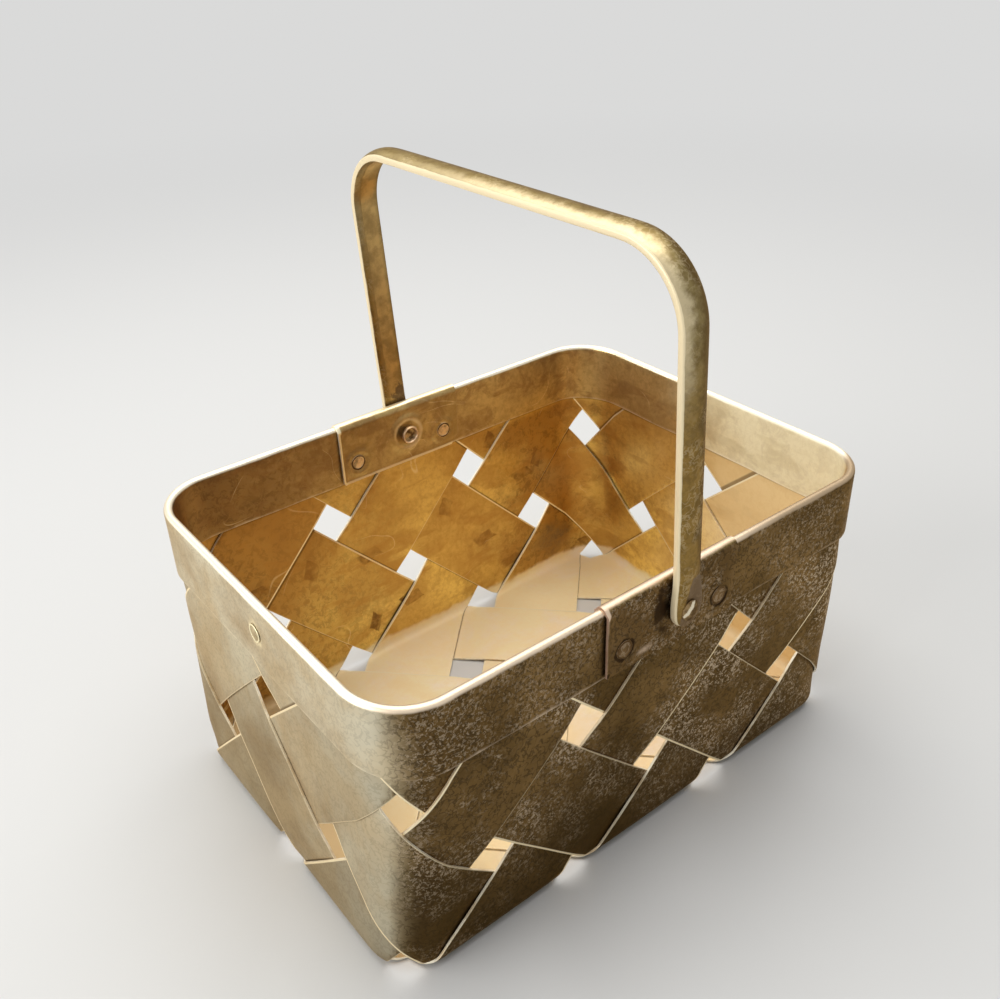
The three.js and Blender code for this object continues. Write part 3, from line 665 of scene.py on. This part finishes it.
def folded_finish(name, outer_tones, inner_tones, worn, shaded_worn_front, spot_place=None):
    """A sheet folded over the rim: tarnished outside, golden inside and rubbed on the fold."""
    f = Finish(name)
    outer_rough = tarnish(f, *outer_tones, 0.5)
    outer = f.tone
    inner_rough, metal, _ = gilding(f, *inner_tones)
    blotches = f.patches(0.47, 0.6, 0.55, 85, 5, 0.7, 0.6)
    f.lay(BAND_BLOTCH, blotches, f.ranged(f.facing[1], 0.2, -0.6, 0.15, 0.85))
    leaf = f.ranged(f.parts_of(f.places["UV"])[1], -0.5 * MM, 1.5 * MM)
    f.tone = f.mix(leaf, outer, f.tone)
    f.set("Metallic", f.mix(leaf, 0.9, metal))
    # The fold's rubbed tone is painted darker on its front face as shade, and darker still to the
    # right of the bail.
    shaded_worn_front = f.mix(f.ranged(f.along, 0.015, 0.06), shaded_worn_front, RIM_RIGHT)
    on_front = f.ranged(f.depth, -0.066, -0.073)
    at_front = f.times(on_front, f.ranged(f.height, 0.1206, 0.1198, 0.25, 1))
    f.lay(f.mix(at_front, worn, shaded_worn_front), f.rubbed("wear", 0.25, 0.85, 0.12, 70, 3, 0.5))
    # Dark smears, and painted shade in gaps, round rivets and along edges, where the piece's value
    # for these is high.
    f.lay(CREVICE, f.rubbed("darkness", 0.3, 0.7, 0.3, 160), 0.95)
    if spot_place:
        entries = {0: f.stretched(f.places["Object"], (1, 1.3, 1)), 1: spot_place}
        away = f.add("ShaderNodeVectorMath", entries, operation="DISTANCE").outputs["Value"]
        ring = f.scattered(away, 0.9 * MM, 420, 4, 0.7)
        f.lay(RUBBED_SPOT, f.ranged(ring, 6.4 * MM, 3.8 * MM, 0, 0.75))
    return f.end(f.mix(leaf, outer_rough, inner_rough), 420, 0.06 * MM)


def edge_finish(name, bright, deep):
    """Cut edges of the sheet: rubbed bright, but dull along the front and golden on the far wall's
    inside, save for those that face up and to the left there, which keep a painted highlight as if
    lit."""
    f = Finish(name)
    up_left = f.times(f.ranged(f.facing[0], -0.25, -0.5), f.ranged(f.facing[2], 0.2, 0.5))
    unlit = f.ranged(f.times(up_left, f.ranged(f.depth, 0.05, 0.065)), 1, 0)
    golden = f.times(f.ranged(f.depth, 0.03, 0.06), f.ranged(f.facing[1], 0, -0.4), unlit)
    f.set("Metallic", f.ranged(golden, 0, 1, 0.15, 0.8))
    at_left = f.ranged(f.along, -0.108, -0.11, 0, 0.7)
    at_front = f.times(f.most(f.ranged(f.depth, -0.076, -0.0785), at_left), 0.8)
    dimmed = f.times(f.patches(0.4, 0.62, 1, 90), unlit)
    f.tone = f.mix(f.most(at_front, dimmed), bright, deep)
    return f.end(f.uneven(0.3, 0.45, 200, 3, 0.55))


# Outer tones go front, left, other: the front's dark brown is painted shade and the left's pale
# grey-green painted light. Inner tones go base, far wall, side facing left, rest: the pale base and
# the paler side are painted light.
weave_outside = outer_finish(
    "weave_outside", (0.11, 0.065, 0.022), (0.68, 0.63, 0.48), (0.46, 0.34, 0.13)
)
weave_inside = inner_finish(
    "weave_inside",
    ((1, 0.9, 0.6), (0.96, 0.76, 0.43)),
    ((1, 0.77, 0.25), (0.5, 0.27, 0.07)),
    ((1, 0.82, 0.48), (0.8, 0.58, 0.28)),
    ((0.95, 0.7, 0.34), (0.52, 0.31, 0.1)),
)
cut_edge = edge_finish("cut_edge", (1, 0.94, 0.76), (0.72, 0.57, 0.36))
tarnished_edge = edge_finish("tarnished_edge", (0.62, 0.44, 0.34), (0.34, 0.2, 0.13))
band_finish = folded_finish(
    "band_brass",
    ((0.125, 0.073, 0.024), (0.72, 0.67, 0.52), (0.44, 0.33, 0.14)),
    (
        ((0.8, 0.6, 0.3), (0.36, 0.22, 0.09)),
        ((0.92, 0.72, 0.33), (0.34, 0.21, 0.08)),
        ((1, 0.92, 0.66), (0.72, 0.62, 0.38)),
        ((0.74, 0.54, 0.26), (0.36, 0.22, 0.09)),
    ),
    (1, 0.92, 0.74),
    (0.84, 0.69, 0.52),
    (-END_WALL - BAND_OUTER, 1.3 * BAND_MARK_Y, BAND_MARK_Z),
)
plate_finish = folded_finish(
    "plate_brass",
    ((0.15, 0.087, 0.032), (0.5, 0.45, 0.32), (0.42, 0.31, 0.13)),
    (((0.82, 0.62, 0.28), (0.34, 0.22, 0.08)),) * 4,
    WORN_AND_HIGHLIGHT,
    (0.8, 0.62, 0.46),
)
rivet_finish = headed_finish(
    "rivet_brass", (0.84, 0.6, 0.34), (0.19, 0.115, 0.05), (0.1, 0.055, 0.022)
)
marked_finish = worn_finish(
    "marked_brass", (0.7, 0.62, 0.42), (0.54, 0.46, 0.3), (0.34, 0.28, 0.16), (1, 0.93, 0.66)
)
pivot_finish = glinting_finish(
    "pivot_brass", (0.66, 0.46, 0.22), (0.12, 0.07, 0.03), (0.95, 0.84, 0.62)
)
bail_finish = bail_metal(
    "bail_brass",
    (0.27, 0.205, 0.085),
    (0.3, 0.187, 0.052),
    (0.6, 0.4, 0.15),
    (0.11, 0.068, 0.022),
    (0.93, 0.79, 0.52),
)


# Woven strips.
def bend_lines(cells, cell):
    """Grid lines of the flat layout, close together where the sheet bends."""
    step = 0.05
    count = round(cells / step)
    lines = {round(i * step, 5) for i in range(-30, count + 31)}
    for bend in (0, cells):
        lines |= {round(bend + i / 5 * FOLD_RADIUS / cell, 5) for i in range(-6, 7)}
        lines |= {round(bend + i / 8 * RIM_CORNER / cell, 5) for i in range(-9, 10)}
    kept = []
    for line in sorted(lines):
        within = -STRIP_TOP - 1e-9 <= line <= cells + STRIP_TOP + 1e-9
        if within and (not kept or line - kept[-1] > 0.006):
            kept.append(line)
    kept[0], kept[-1] = -STRIP_TOP, cells + STRIP_TOP
    return kept


def strip_course(family, number):
    """The serial number of a strip, and in cells across the flat layout its even place, its
    middle and its half width."""
    rising = family == "rising"
    serial = number + (0 if rising else STRIPS)
    line = number - 0.5 - (CELLS_WIDE if rising else 0)
    middle = line + STRIP_UNEVENNESS * math.sin(2.3 * serial + 0.7)
    width = STRIP_SHARE + STRIP_UNEVENNESS * math.sin(3.9 * serial + 2.1)
    return serial, line, middle, width / 2


def crossing_edges(family):
    """Both edges of each strip that crosses a strip of this family, in order, each as its place
    along the strip and as its place in an even weave."""
    other, first = ("falling", 0) if family == "rising" else ("rising", -CELLS_WIDE)
    edges = []
    for cell in range(-6, 12):
        even, share = cell + 0.5, STRIP_SHARE / 2
        middle, half = even, share
        if 0 <= cell - first < STRIPS:
            middle, half = strip_course(other, cell - first + 1)[2:]
        edges += [(middle - half, even - share), (middle + half, even + share)]
    return edges


def even_course(run, edges):
    """The place along a strip, evened out so that each crossing strip takes the same share."""
    after = bisect(edges, (run,))
    (low, even_low), (high, even_high) = edges[after - 1:after + 1]
    return even_low + (even_high - even_low) * (run - low) / (high - low)


def woven_strip(family, number):
    """One strip, cut from flat sheet along the diagonal, then folded up into the walls."""
    rising = family == "rising"
    serial, line, middle, half = strip_course(family, number)
    edges = crossing_edges(family)
    strip = flat_sheet(
        f"woven_strip_{family}_{number}",
        bend_lines(CELLS_LONG, CELL_LENGTH),
        bend_lines(CELLS_WIDE, CELL_WIDTH),
    )
    across = (1, -1) if rising else (1, 1)
    trim(strip, (middle + half, 0), across)
    trim(strip, (middle - half, 0), (-across[0], -across[1]))

    def side_at(crossing):
        """1 where the strip passes outside the crossing one, and -1 inside it."""
        pairs = (line + crossing) / 2
        return 1 if (abs(pairs - round(pairs)) < 0.01) == rising else -1

    def course_at(a, b):
        return even_course(a + b if rising else a - b, edges)

    # A value that shifts the tone square by square: own variation, and painted shade of squares
    # tilted differently.
    def hue_at(p):
        return noise.noise(Vector((0.9 * course_at(p.x, p.y), 3.7 * serial, 0.5)))

    outer_first = 0 if side_at(0.5) > 0 else 1
    paint(strip, "across", lambda p: (middle - p.x + p.y if rising else p.x + p.y - middle) / half)
    paint(strip, "course", lambda p: course_at(p.x, p.y) + outer_first)
    paint(strip, "hue", hue_at)

    def place(a, b):
        course = course_at(a, b)
        crossing = math.floor(course) + 0.5
        wave = math.tanh(WAVE_FLATNESS * math.cos(math.pi * (course - crossing)))
        wave /= math.tanh(WAVE_FLATNESS)
        flat_place = sheet_point(a, b, 0)
        height = flat_place.z
        free = smooth(height, 2 * MM, 22 * MM) * smooth(height, 92 * MM, 76 * MM)
        fold = smooth(height, 0.9 * MM, 7 * MM) * smooth(height, 34 * MM, 12 * MM)
        lift = side_at(crossing) * wave
        if lift > 0:
            lift *= OUTER_LIFT + FREE_BULGE * free + FOLD_BULGE * fold
        else:
            lift *= INNER_LIFT
        wobble = 0.12 * MM * free * ripple(*flat_place, 0.03, serial)
        return sheet_point(a, b, lift + wobble)

    map_sheet(strip, place)
    materials = (weave_inside, weave_outside, cut_edge)
    thicken(strip, STRIP_SHEET, materials, width=0.4 * MM, segments=2, material=2)
    settle(strip, SHEET_ANGLE, "basket", "strip_brass", f"strip_{family}_{number}")


for family in ("rising", "falling"):
    for number in range(1, STRIPS + 1):
        woven_strip(family, number)


# Sheets folded over the rim.
class RimFold:
    """A sheet folded over the wall's edge, seen flat: v runs across it, outer leaf first."""

    def __init__(self, middle, top):
        self.middle = middle
        self.centre = top - middle
        self.arc = math.pi * middle
        self.leaf = self.centre - BAND_BOTTOM
        self.half = self.leaf + self.arc / 2

    def lines(self, step):
        straight = round(self.leaf / step)
        side = [self.arc / 2 + self.leaf * (i + 1) / straight for i in range(straight)]
        bend = [self.arc / 2 * i / 4 for i in range(-4, 5)]
        return [-v for v in reversed(side)] + bend + side

    def place(self, v):
        """Height and outward offset of the middle of the sheet."""
        if abs(v) < self.arc / 2:
            angle = v / self.middle
            return self.centre + self.middle * math.cos(angle), -self.middle * math.sin(angle)
        return self.centre - (abs(v) - self.arc / 2), -math.copysign(self.middle, v)


def cells_up(height):
    return (height - BASE_LIFT) / CELL_HEIGHT


def round_the_rim(run, height, offset):
    """A point of the rim, run cells from the band's joint: back, left, front, right and back."""
    up = cells_up(height)
    for length, a, b, step_a, step_b in (
        (BAND_JOINT, BAND_JOINT, CELLS_WIDE + up, -1, 0),
        (CELLS_WIDE, -up, CELLS_WIDE, 0, -1),
        (CELLS_LONG, 0, -up, 1, 0),
        (CELLS_WIDE, CELLS_LONG + up, 0, 0, 1),
        (CELLS_LONG, CELLS_LONG, CELLS_WIDE + up, -1, 0),
    ):
        if run <= length:
            return sheet_point(a + step_a * run, b + step_b * run, offset)
        run -= length


BAND_JOINT = (HALF_LENGTH + 11 * MM) / CELL_LENGTH
RIM_RUN = 2 * (CELLS_LONG + CELLS_WIDE)
RIM_STEPS = 400


def rim_band():
    """One long sheet folded over the top edge all round, its ends meeting under the back plate."""
    fold = RimFold(BAND_MIDDLE, RIM_HEIGHT - SHEET / 2)
    joint = 0.2 * MM / CELL_LENGTH
    runs = [joint + (RIM_RUN - 2 * joint) * i / RIM_STEPS for i in range(RIM_STEPS + 1)]
    band = flat_sheet("folded_rim_band", runs, fold.lines(2.2 * MM))

    def place(run, v):
        height, offset = fold.place(v)
        spot = round_the_rim(run, height, offset)
        free = smooth(abs(v), fold.half - 20 * MM, fold.half)
        if abs(spot.y) >= HALF_WIDTH:
            free *= smooth(abs(spot.x), 30 * MM, 36 * MM)
        edge_rise = 0.35 * MM * free * ripple(run, math.copysign(1, v), 0, 0.35, 4)
        bulge = 0.3 * MM * free * ripple(run, v, 0, 0.4, 9)
        return round_the_rim(run, height + edge_rise, offset + math.copysign(abs(bulge), offset))

    map_sheet(band, place)
    top = RIM_HEIGHT - BAND_OUTER
    # Wear on the fold, and a painted highlight along the band's lower edge.
    paint(band, "wear", lambda p: max(
        smooth(p.z, top - 0.5 * MM, RIM_HEIGHT - 0.4 * MM),
        0.5 * smooth(p.z, BAND_BOTTOM + 1.3 * MM, BAND_BOTTOM + 0.5 * MM),
    ))
    thicken(band, SHEET, (band_finish, band_finish, cut_edge))
    settle(band, SHEET_ANGLE, "basket", "band_brass", "rim_band")


PLATE_STEPS = 96


def saddle_plate(wall):
    """A plate folded over the band at the middle of a long wall, pressed round the pivot."""
    side = -1 if wall == "front" else 1
    fold = RimFold(PLATE_MIDDLE, RIM_HEIGHT + 0.05 * MM + PLATE_SHEET / 2)
    half = PLATE_LENGTH / 2
    columns = [-half + PLATE_LENGTH * i / PLATE_STEPS for i in range(PLATE_STEPS + 1)]
    plate = flat_sheet(f"saddle_{wall}", columns, fold.lines(0.7 * MM))
    for end, leaf in ((1, 1), (-1, 1), (-1, -1), (1, -1)):
        cut = PLATE_CLIP if end + leaf == 2 else PLATE_CUT
        trim(plate, (end * (half - cut), leaf * fold.half), (end, leaf))

    def place(x, v):
        height, offset = fold.place(v)
        a = (x + HALF_LENGTH) / CELL_LENGTH
        from_pivot = math.hypot(x - PIVOT_X, height - PIVOT_Z)
        ring = 1.7 * bell(from_pivot, 7 * MM, 1.8 * MM) if v > 0 else 0
        lip = smooth(abs(v), fold.half - 1.6 * MM, fold.half)
        lift = 0.4 * MM * ring + 0.3 * MM * lip * (1 if v > 0 else 0.4)
        lift += 0.12 * MM * (1 + ripple(x, v, 0, 0.012, side))
        lift += 0.6 * MM * smooth(-x, half - 2.2 * MM, half)
        for rivet in (-PLATE_RIVET_X, PLATE_RIVET_X):
            from_rivet = math.hypot(x - rivet, height - PLATE_RIVET_Z)
            ring = 0.35 * MM * bell(from_rivet, 5.1 * MM, 1.1 * MM)
            lift += ring * (1 + ripple(x, height, v, 0.004, 6))
        out = offset + math.copysign(lift, offset) * (0 if abs(v) < fold.arc / 2 else 1)
        up = cells_up(height)
        return sheet_point(a, -up if side < 0 else CELLS_WIDE + up, out)

    map_sheet(plate, place)
    crest = RIM_HEIGHT - BAND_OUTER

    def worn_at(p):
        inside = abs(p.y) < LONG_WALL
        from_left, up = p.x + half, p.z - crest
        # The halo's pale tone is a painted highlight on the pressed ring round the pivot.
        halo = bell(math.hypot(p.x - PIVOT_X, p.z - PIVOT_Z), 6.6 * MM, 1.4 * MM)
        scuff = bell(p.x, -13 * MM, 6 * MM) * bell(p.z, 96 * MM, 2.4 * MM)
        return max(
            smooth(up, 1 * MM, 2.4 * MM),
            (0.95 if inside else 0.45) * smooth(from_left, 1.9 * MM, 1 * MM),
            smooth(from_left, 3 * MM, 1.4 * MM) * smooth(up, -2 * MM, 0),
            0.8 * smooth(p.z - BAND_BOTTOM, 1.8 * MM, 0.8 * MM) * inside,
            0.5 * halo if inside else 0.55 * scuff,
        )

    # A dark smear beside the bail's lug, and painted shade: in the gap at the plate's lower left
    # corner, round the rivet heads and along the plate's right edge.
    def darkness_at(p):
        from_right = half - p.x
        if abs(p.y) < LONG_WALL:
            return 0.4 * smooth(from_right, 0.8 * MM, 0.2 * MM)
        beside = bell(p.x, PIVOT_X - 9.5 * MM, 4 * MM) * bell(p.z, 108 * MM, 9 * MM)
        to_hole = math.hypot(p.x + half - 1.5 * MM, p.z - BAND_BOTTOM - 1.5 * MM)
        to_rivet = math.hypot(abs(p.x) - PLATE_RIVET_X, p.z - PLATE_RIVET_Z)
        pit = 0.8 * bell(to_rivet, 4 * MM, 0.6 * MM)
        edge = 0.5 * smooth(from_right, 0.9 * MM, 0.2 * MM)
        return max(beside, bell(to_hole, 0, 1.3 * MM), pit, edge)

    paint(plate, "wear", worn_at)
    paint(plate, "darkness", darkness_at)
    if side > 0:
        on_whole(plate, bpy.ops.mesh.flip_normals)
    materials = (plate_finish, plate_finish, cut_edge if side > 0 else tarnished_edge)
    thicken(plate, PLATE_SHEET, materials, width=0.15 * MM, segments=1)
    settle(plate, SHEET_ANGLE, "basket", "plate_brass", f"saddle_plate_{wall}")


# Rivets, turned about their own axis and then set into their seats.
def disc(name, radius, bottom, top, sides=32):
    middle = (0, 0, (top + bottom) / 2)
    bpy.ops.mesh.primitive_cylinder_add(
        vertices=sides, radius=radius, depth=top - bottom, location=middle
    )
    bpy.ops.object.transform_apply(location=True, rotation=False, scale=False)
    return take_new(name)


def step_face(piece, *steps):
    """Insets the end face step by step and moves it along the axis after each inset, both given
    in millimetres."""
    edit(piece)
    bpy.ops.mesh.select_mode(type="FACE")
    bpy.ops.mesh.select_all(action="DESELECT")
    leave()
    end = max(v.co.z for v in piece.data.vertices)
    for face in piece.data.polygons:
        face.select = face.normal.z > 0.9 and face.center.z > end - 1e-6
    edit(piece)
    for inset, move in steps:
        bpy.ops.mesh.inset(thickness=inset * MM)
        bpy.ops.transform.translate(value=(0, 0, move * MM))
    leave()


def join_pieces(name, first, *others):
    pick(first)
    for piece in others:
        piece.select_set(True)
    bpy.ops.object.join()
    return take_new(name)


def seat(rivet, wall, along, height, finish, slot, node):
    """Rounds a rivet made about the Z axis, turns it outwards from a wall and sets it in there."""
    modify(rivet, "SUBSURF", levels=1)
    spot, outward = {
        "front": ((along, -LONG_WALL, height), (0, -1, 0)),
        "back": ((along, LONG_WALL, height), (0, 1, 0)),
        "left": ((-END_WALL, along, height), (-1, 0, 0)),
    }[wall]
    turn = Vector((0, 0, 1)).rotation_difference(Vector(outward)).to_matrix().to_4x4()
    rivet.data.transform(Matrix.Translation(spot) @ turn)
    rivet.data.update()
    give_materials(rivet, finish)
    settle(rivet, ROUND_ANGLE, "basket", slot, node)


def batter(piece, size, depth, seed):
    """Knocks a turned piece a little out of round."""
    for v in piece.data.vertices:
        push = 1 + size * ripple(v.co.x, v.co.y, 0.2 * v.co.z, 0.003, seed)
        v.co.x *= push
        v.co.y *= push
        v.co.z += math.copysign(depth, v.co.z) * ripple(v.co.x, v.co.y, 0, 0.0022, seed + 5)


def flush_head(name, stack):
    """A hammered rivet head: a ring round a slightly sunken middle."""
    low = stack + 0.05 * MM
    head = disc(name, 3.5 * MM, low, low + 0.28 * MM)
    ring = ((0.25, 0.17), (0.35, 0.05), (0.3, -0.22))
    step_face(head, *ring, (0.2, -0.06), (0.35, 0.1), (0.9, 0.05))
    return head


def flush_rivet(name, wall, along, height, stack, finish):
    outer = flush_head(name, stack)
    inner = flush_head("inner_head", stack)
    inner.data.transform(Matrix.Rotation(math.pi, 4, "X"))
    rivet = join_pieces(f"hammered_{name}", outer, inner)
    batter(rivet, 0.09, 0.07 * MM, 1000 * (along + height))

    def worn_at(p):
        out, up = math.hypot(p.x, p.y), abs(p.z) - stack
        return smooth(out, 2.4 * MM, 2.9 * MM) * smooth(up, 0.3 * MM, 0.5 * MM)

    paint(rivet, "wear", worn_at)
    seat(rivet, wall, along, height, finish, "rivet_brass", name)


def pivot_rivet(wall):
    """The rivet that carries the bail: a domed head outside and a hollow stub inside."""
    lug_face = LUG_INNER - LONG_WALL + LUG_THICKNESS
    head = disc("domed_head", 3.9 * MM, lug_face + 0.05 * MM, lug_face + 0.6 * MM, 28)
    step_face(head, (0.3, 0.4), (0.7, 0.5), (0.9, 0.35), (0.9, 0.1))
    batter(head, 0.12, 0.3 * MM, 3)
    low = PLATE_OUTER + 0.05 * MM
    shank = disc("shank", 2.5 * MM, low, lug_face - LUG_THICKNESS - 0.05 * MM)
    stub = disc("stub", 4 * MM, low, low + 2.7 * MM, 36)
    step_face(stub, (0.35, 0.3), (0.6, 0), (0.25, -1.9), (0.8, -0.1))
    batter(stub, 0.06, 0.1 * MM, 8)
    stub.data.transform(Matrix.Rotation(math.pi, 4, "X"))
    rivet = join_pieces(f"domed_pivot_{wall}", head, shank, stub)
    paint(rivet, "wear", lambda p: max(
        smooth(p.z, lug_face + 0.7 * MM, lug_face + 1.2 * MM),
        0.8 * smooth(-p.z, low + 2.5 * MM, low + 3.0 * MM),
    ))
    name = f"pivot_rivet_{wall}"
    seat(rivet, wall, PIVOT_X, PIVOT_Z, pivot_finish, "pivot_brass", name)


# The bail.
def bar_ring(half, thickness, crown):
    """Section of the bar as (across, outwards) pairs: flat inside, crowned outside, soft edges."""
    soft = min(0.6 * MM, half / 3)
    side = thickness - crown
    ring = [(-half + soft, 0), (0, 0), (half - soft, 0)]
    ring += [(half - 0.25 * soft, 0.3 * soft), (half, soft)]
    ring += [(half, side - 0.6 * soft), (half - 0.3 * soft, side)]
    ring += [(share * half, side + crown * (1 - share ** 2)) for share in (0.8, 0.6, 0.4, 0.2)]
    ring.append((0, thickness))
    return ring + [(-x, out) for x, out in reversed(ring[3:-1])]


def hammered(x, z):
    """Where the bar is hammered flat round its rivet: a V that leaves the left edge thick."""
    rise = (z - PIVOT_Z) / (13.5 * MM)
    edge = (-0.6 + 0.8 * rise) * BAIL_WIDTH / 2
    return smooth(x, edge - 0.5 * MM, edge + 0.5 * MM) * smooth(rise, 1.1, 0.8)


def bail_stations():
    """Places along the bail from the tip of the front lug to the tip of the back one."""
    inner = BAIL_CORNER - BAIL_THICKNESS
    bend_y = LUG_INNER - inner
    bend_z = BAIL_TOP - BAIL_CORNER
    leg = []
    for step in (0.99, 0.95, 0.88, 0.78, 0.65, 0.48, 0.25, 0):
        half = LUG_RADIUS * math.sqrt(1 - step * step)
        leg.append((PIVOT_Z - LUG_RADIUS * step, half, BAIL_THICKNESS - 0.6 * MM * step, 1.2 * MM))
    for i in range(1, 13):
        share = i / 12
        leg.append((
            PIVOT_Z + LUG_BLEND * share,
            BAIL_WIDTH / 2 + (LUG_RADIUS - BAIL_WIDTH / 2) * smooth(share, 0.9, 0.1),
            BAIL_THICKNESS,
            (1.2 + 0.3 * share) * MM,
        ))
    bar = (BAIL_WIDTH / 2, BAIL_THICKNESS, 1.5 * MM)
    start = PIVOT_Z + LUG_BLEND
    leg += [(start + (bend_z - start) * i / 10, *bar) for i in range(1, 11)]
    front = [((-LUG_INNER, z), (-1, 0), section) for z, *section in leg]
    for i in range(1, 13):
        angle = math.pi / 2 * i / 12
        out = (-math.cos(angle), math.sin(angle))
        front.append(((-bend_y + inner * out[0], bend_z + inner * out[1]), out, bar))
    top = [((bend_y * (i / 6 - 1), bend_z + inner), (0, 1), bar) for i in range(1, 12)]
    back = [((-y, z), (-out_y, up), section) for (y, z), (out_y, up), section in reversed(front)]
    return front + top + back


def bail():
    """A flat bar bent into a U, with flattened round ends beside the pivots."""
    stations = bail_stations()
    size = len(bar_ring(*stations[0][2]))
    bpy.ops.mesh.primitive_circle_add(vertices=size, radius=BAIL_WIDTH / 2, fill_type="NGON")
    bar = take_new("bar_handle")
    for i in range(1, len(stations)):
        edit(bar)
        if i == 1:
            bpy.ops.mesh.select_all(action="SELECT")
        bpy.ops.mesh.extrude_region_move(TRANSFORM_OT_translate={"value": (0, 0, BAIL_WIDTH)})
        leave()
    for name in ("wear", "across", "inner", "darkness"):
        bar.data.attributes.new(name, "FLOAT", "POINT")
    for index, v in enumerate(bar.data.vertices):
        station, spot = divmod(index, size)
        (y, z), (out_y, out_z), section = stations[station]
        x, out = bar_ring(*section)[spot]
        half = section[0]
        flat = hammered(x, z)
        if out > LUG_THICKNESS:
            out += (LUG_THICKNESS - out) * flat
        inner = 1 if out < 0.1 * MM else 0
        # Wear on the bar's left side face, which also serves as a painted highlight.
        edge = smooth(-x, 0.86 * half, 0.99 * half) * smooth(out, 0.05 * MM, 0.6 * MM)
        foot = smooth(x, 0, half) * smooth(z, RIM_HEIGHT + 9 * MM, RIM_HEIGHT + 3 * MM)
        # The hammered facet and the inner face low on the right are made darker.
        darkness = max(flat, foot * inner)
        values = {"wear": edge, "across": x / half, "inner": inner, "darkness": darkness}
        for name, value in values.items():
            bar.data.attributes[name].data[index].value = value
        drift = 0.25 * MM * ripple(station / len(stations), 0, 0, 0.22, 3)
        v.co = Vector((x + drift, y + out_y * out, z + out_z * out))
    on_whole(bar, bpy.ops.mesh.normals_make_consistent, inside=False)
    modify(bar, "SUBSURF", levels=1)
    lean = Matrix.Rotation(BAIL_LEAN, 4, "Y") @ Matrix.Translation((0, 0, -PIVOT_Z))
    bar.data.transform(Matrix.Translation((PIVOT_X, 0, PIVOT_Z)) @ lean)
    give_materials(bar, bail_finish)
    settle(bar, ROUND_ANGLE, "handle", "bail_brass", "bail")


rim_band()
for wall in ("front", "back"):
    saddle_plate(wall)
    for end, along in (("left", -PLATE_RIVET_X), ("right", PLATE_RIVET_X)):
        name = f"plate_rivet_{wall}_{end}"
        flush_rivet(name, wall, along, PLATE_RIVET_Z, PLATE_OUTER, rivet_finish)
    pivot_rivet(wall)
flush_rivet("band_rivet_left_end", "left", BAND_MARK_Y, BAND_MARK_Z, BAND_OUTER, marked_finish)
bail()


# Floor, light and camera.
PALE = (0.7, 0.7, 0.695)
FLOOR_FADES = (0.25, 1.3)
LAMP_AIM = Vector((0, 0, 0.05))
LAMPS = (
    ("left_lamp", (-1.4, 0.35, 0.6), (1.5, 0.9), 15),
    ("top_lamp", (0.2, 0.3, 1.3), (1.5, 1.5), 17.5),
)
CAMERA_PLACE = (-0.205556, -0.261053, 0.314158)
CAMERA_TURNS = ((53.02 - 90, "Z"), (90 - 31.66, "X"), (-2.17, "Z"))


def rays_that_see(tree):
    """1 for rays that show the background: those of the camera, of shine and of glass."""
    rays = tree.nodes.new("ShaderNodeLightPath").outputs
    seen = rays["Is Camera Ray"]
    for kind in ("Is Glossy Ray", "Is Transmission Ray"):
        either = tree.nodes.new("ShaderNodeMath")
        either.operation = "MAXIMUM"
        tree.links.new(seen, either.inputs[0])
        tree.links.new(rays[kind], either.inputs[1])
        seen = either.outputs[0]
    return seen


def blend(tree, share, first, second, end):
    """Leads a mix of two shaders to the end of a tree."""
    both = tree.nodes.new("ShaderNodeMixShader")
    for socket, value in zip(both.inputs, (share, first.outputs[0], second.outputs[0])):
        tree.links.new(value, socket)
    tree.links.new(both.outputs[0], tree.nodes[end].inputs["Surface"])


def studio():
    bpy.ops.mesh.primitive_plane_add(size=14)
    floor = take_new("floor")
    f = Finish("pale_floor", metal=0, shine=(1, 1, 1))
    f.tone = (0.68, 0.68, 0.67)
    give_materials(floor, f.end(0.75))
    far = f.add("ShaderNodeVectorMath", {0: f.places["Object"]}, operation="LENGTH")
    share = f.times(rays_that_see(f.tree), f.ranged(far.outputs["Value"], *FLOOR_FADES))
    glow = f.add("ShaderNodeEmission", {"Color": PALE})
    blend(f.tree, share, f.shader, glow, "Material Output")
    floor.location.z = -0.2 * MM

    world = bpy.data.worlds.new("soft_room")
    world.use_nodes = True
    room = world.node_tree
    lit = room.nodes["Background"]
    lit.inputs["Color"].default_value = (0.95, 0.97, 1, 1)
    lit.inputs["Strength"].default_value = 0.34
    shown = room.nodes.new("ShaderNodeBackground")
    shown.inputs["Color"].default_value = (*PALE, 1)
    blend(room, rays_that_see(room), lit, shown, "World Output")
    bpy.context.scene.world = world

    for name, place, size, power in LAMPS:
        lamp = bpy.data.lights.new(name, "AREA")
        lamp.shape = "RECTANGLE"
        lamp.size, lamp.size_y = size
        lamp.energy = power
        lamp.color = (1, 0.985, 0.96)
        stand = bpy.data.objects.new(name, lamp)
        bpy.context.scene.collection.objects.link(stand)
        stand.location = place
        stand.rotation_euler = (LAMP_AIM - Vector(place)).to_track_quat("-Z", "Y").to_euler()


def photo_camera():
    camera = bpy.data.cameras.new("photo_camera")
    camera.sensor_width = 36
    camera.lens = 37.32
    camera.shift_x, camera.shift_y = 0.0054, 0.0011
    camera.clip_start = 0.01
    holder = bpy.data.objects.new("photo_camera", camera)
    bpy.context.scene.collection.objects.link(holder)
    turned = Matrix.Translation(CAMERA_PLACE)
    for degrees, axis in CAMERA_TURNS:
        turned = turned @ Matrix.Rotation(math.radians(degrees), 4, axis)
    holder.matrix_world = turned
    bpy.context.scene.camera = holder


studio()
photo_camera()
bpy.context.scene.view_settings.view_transform = "Standard"
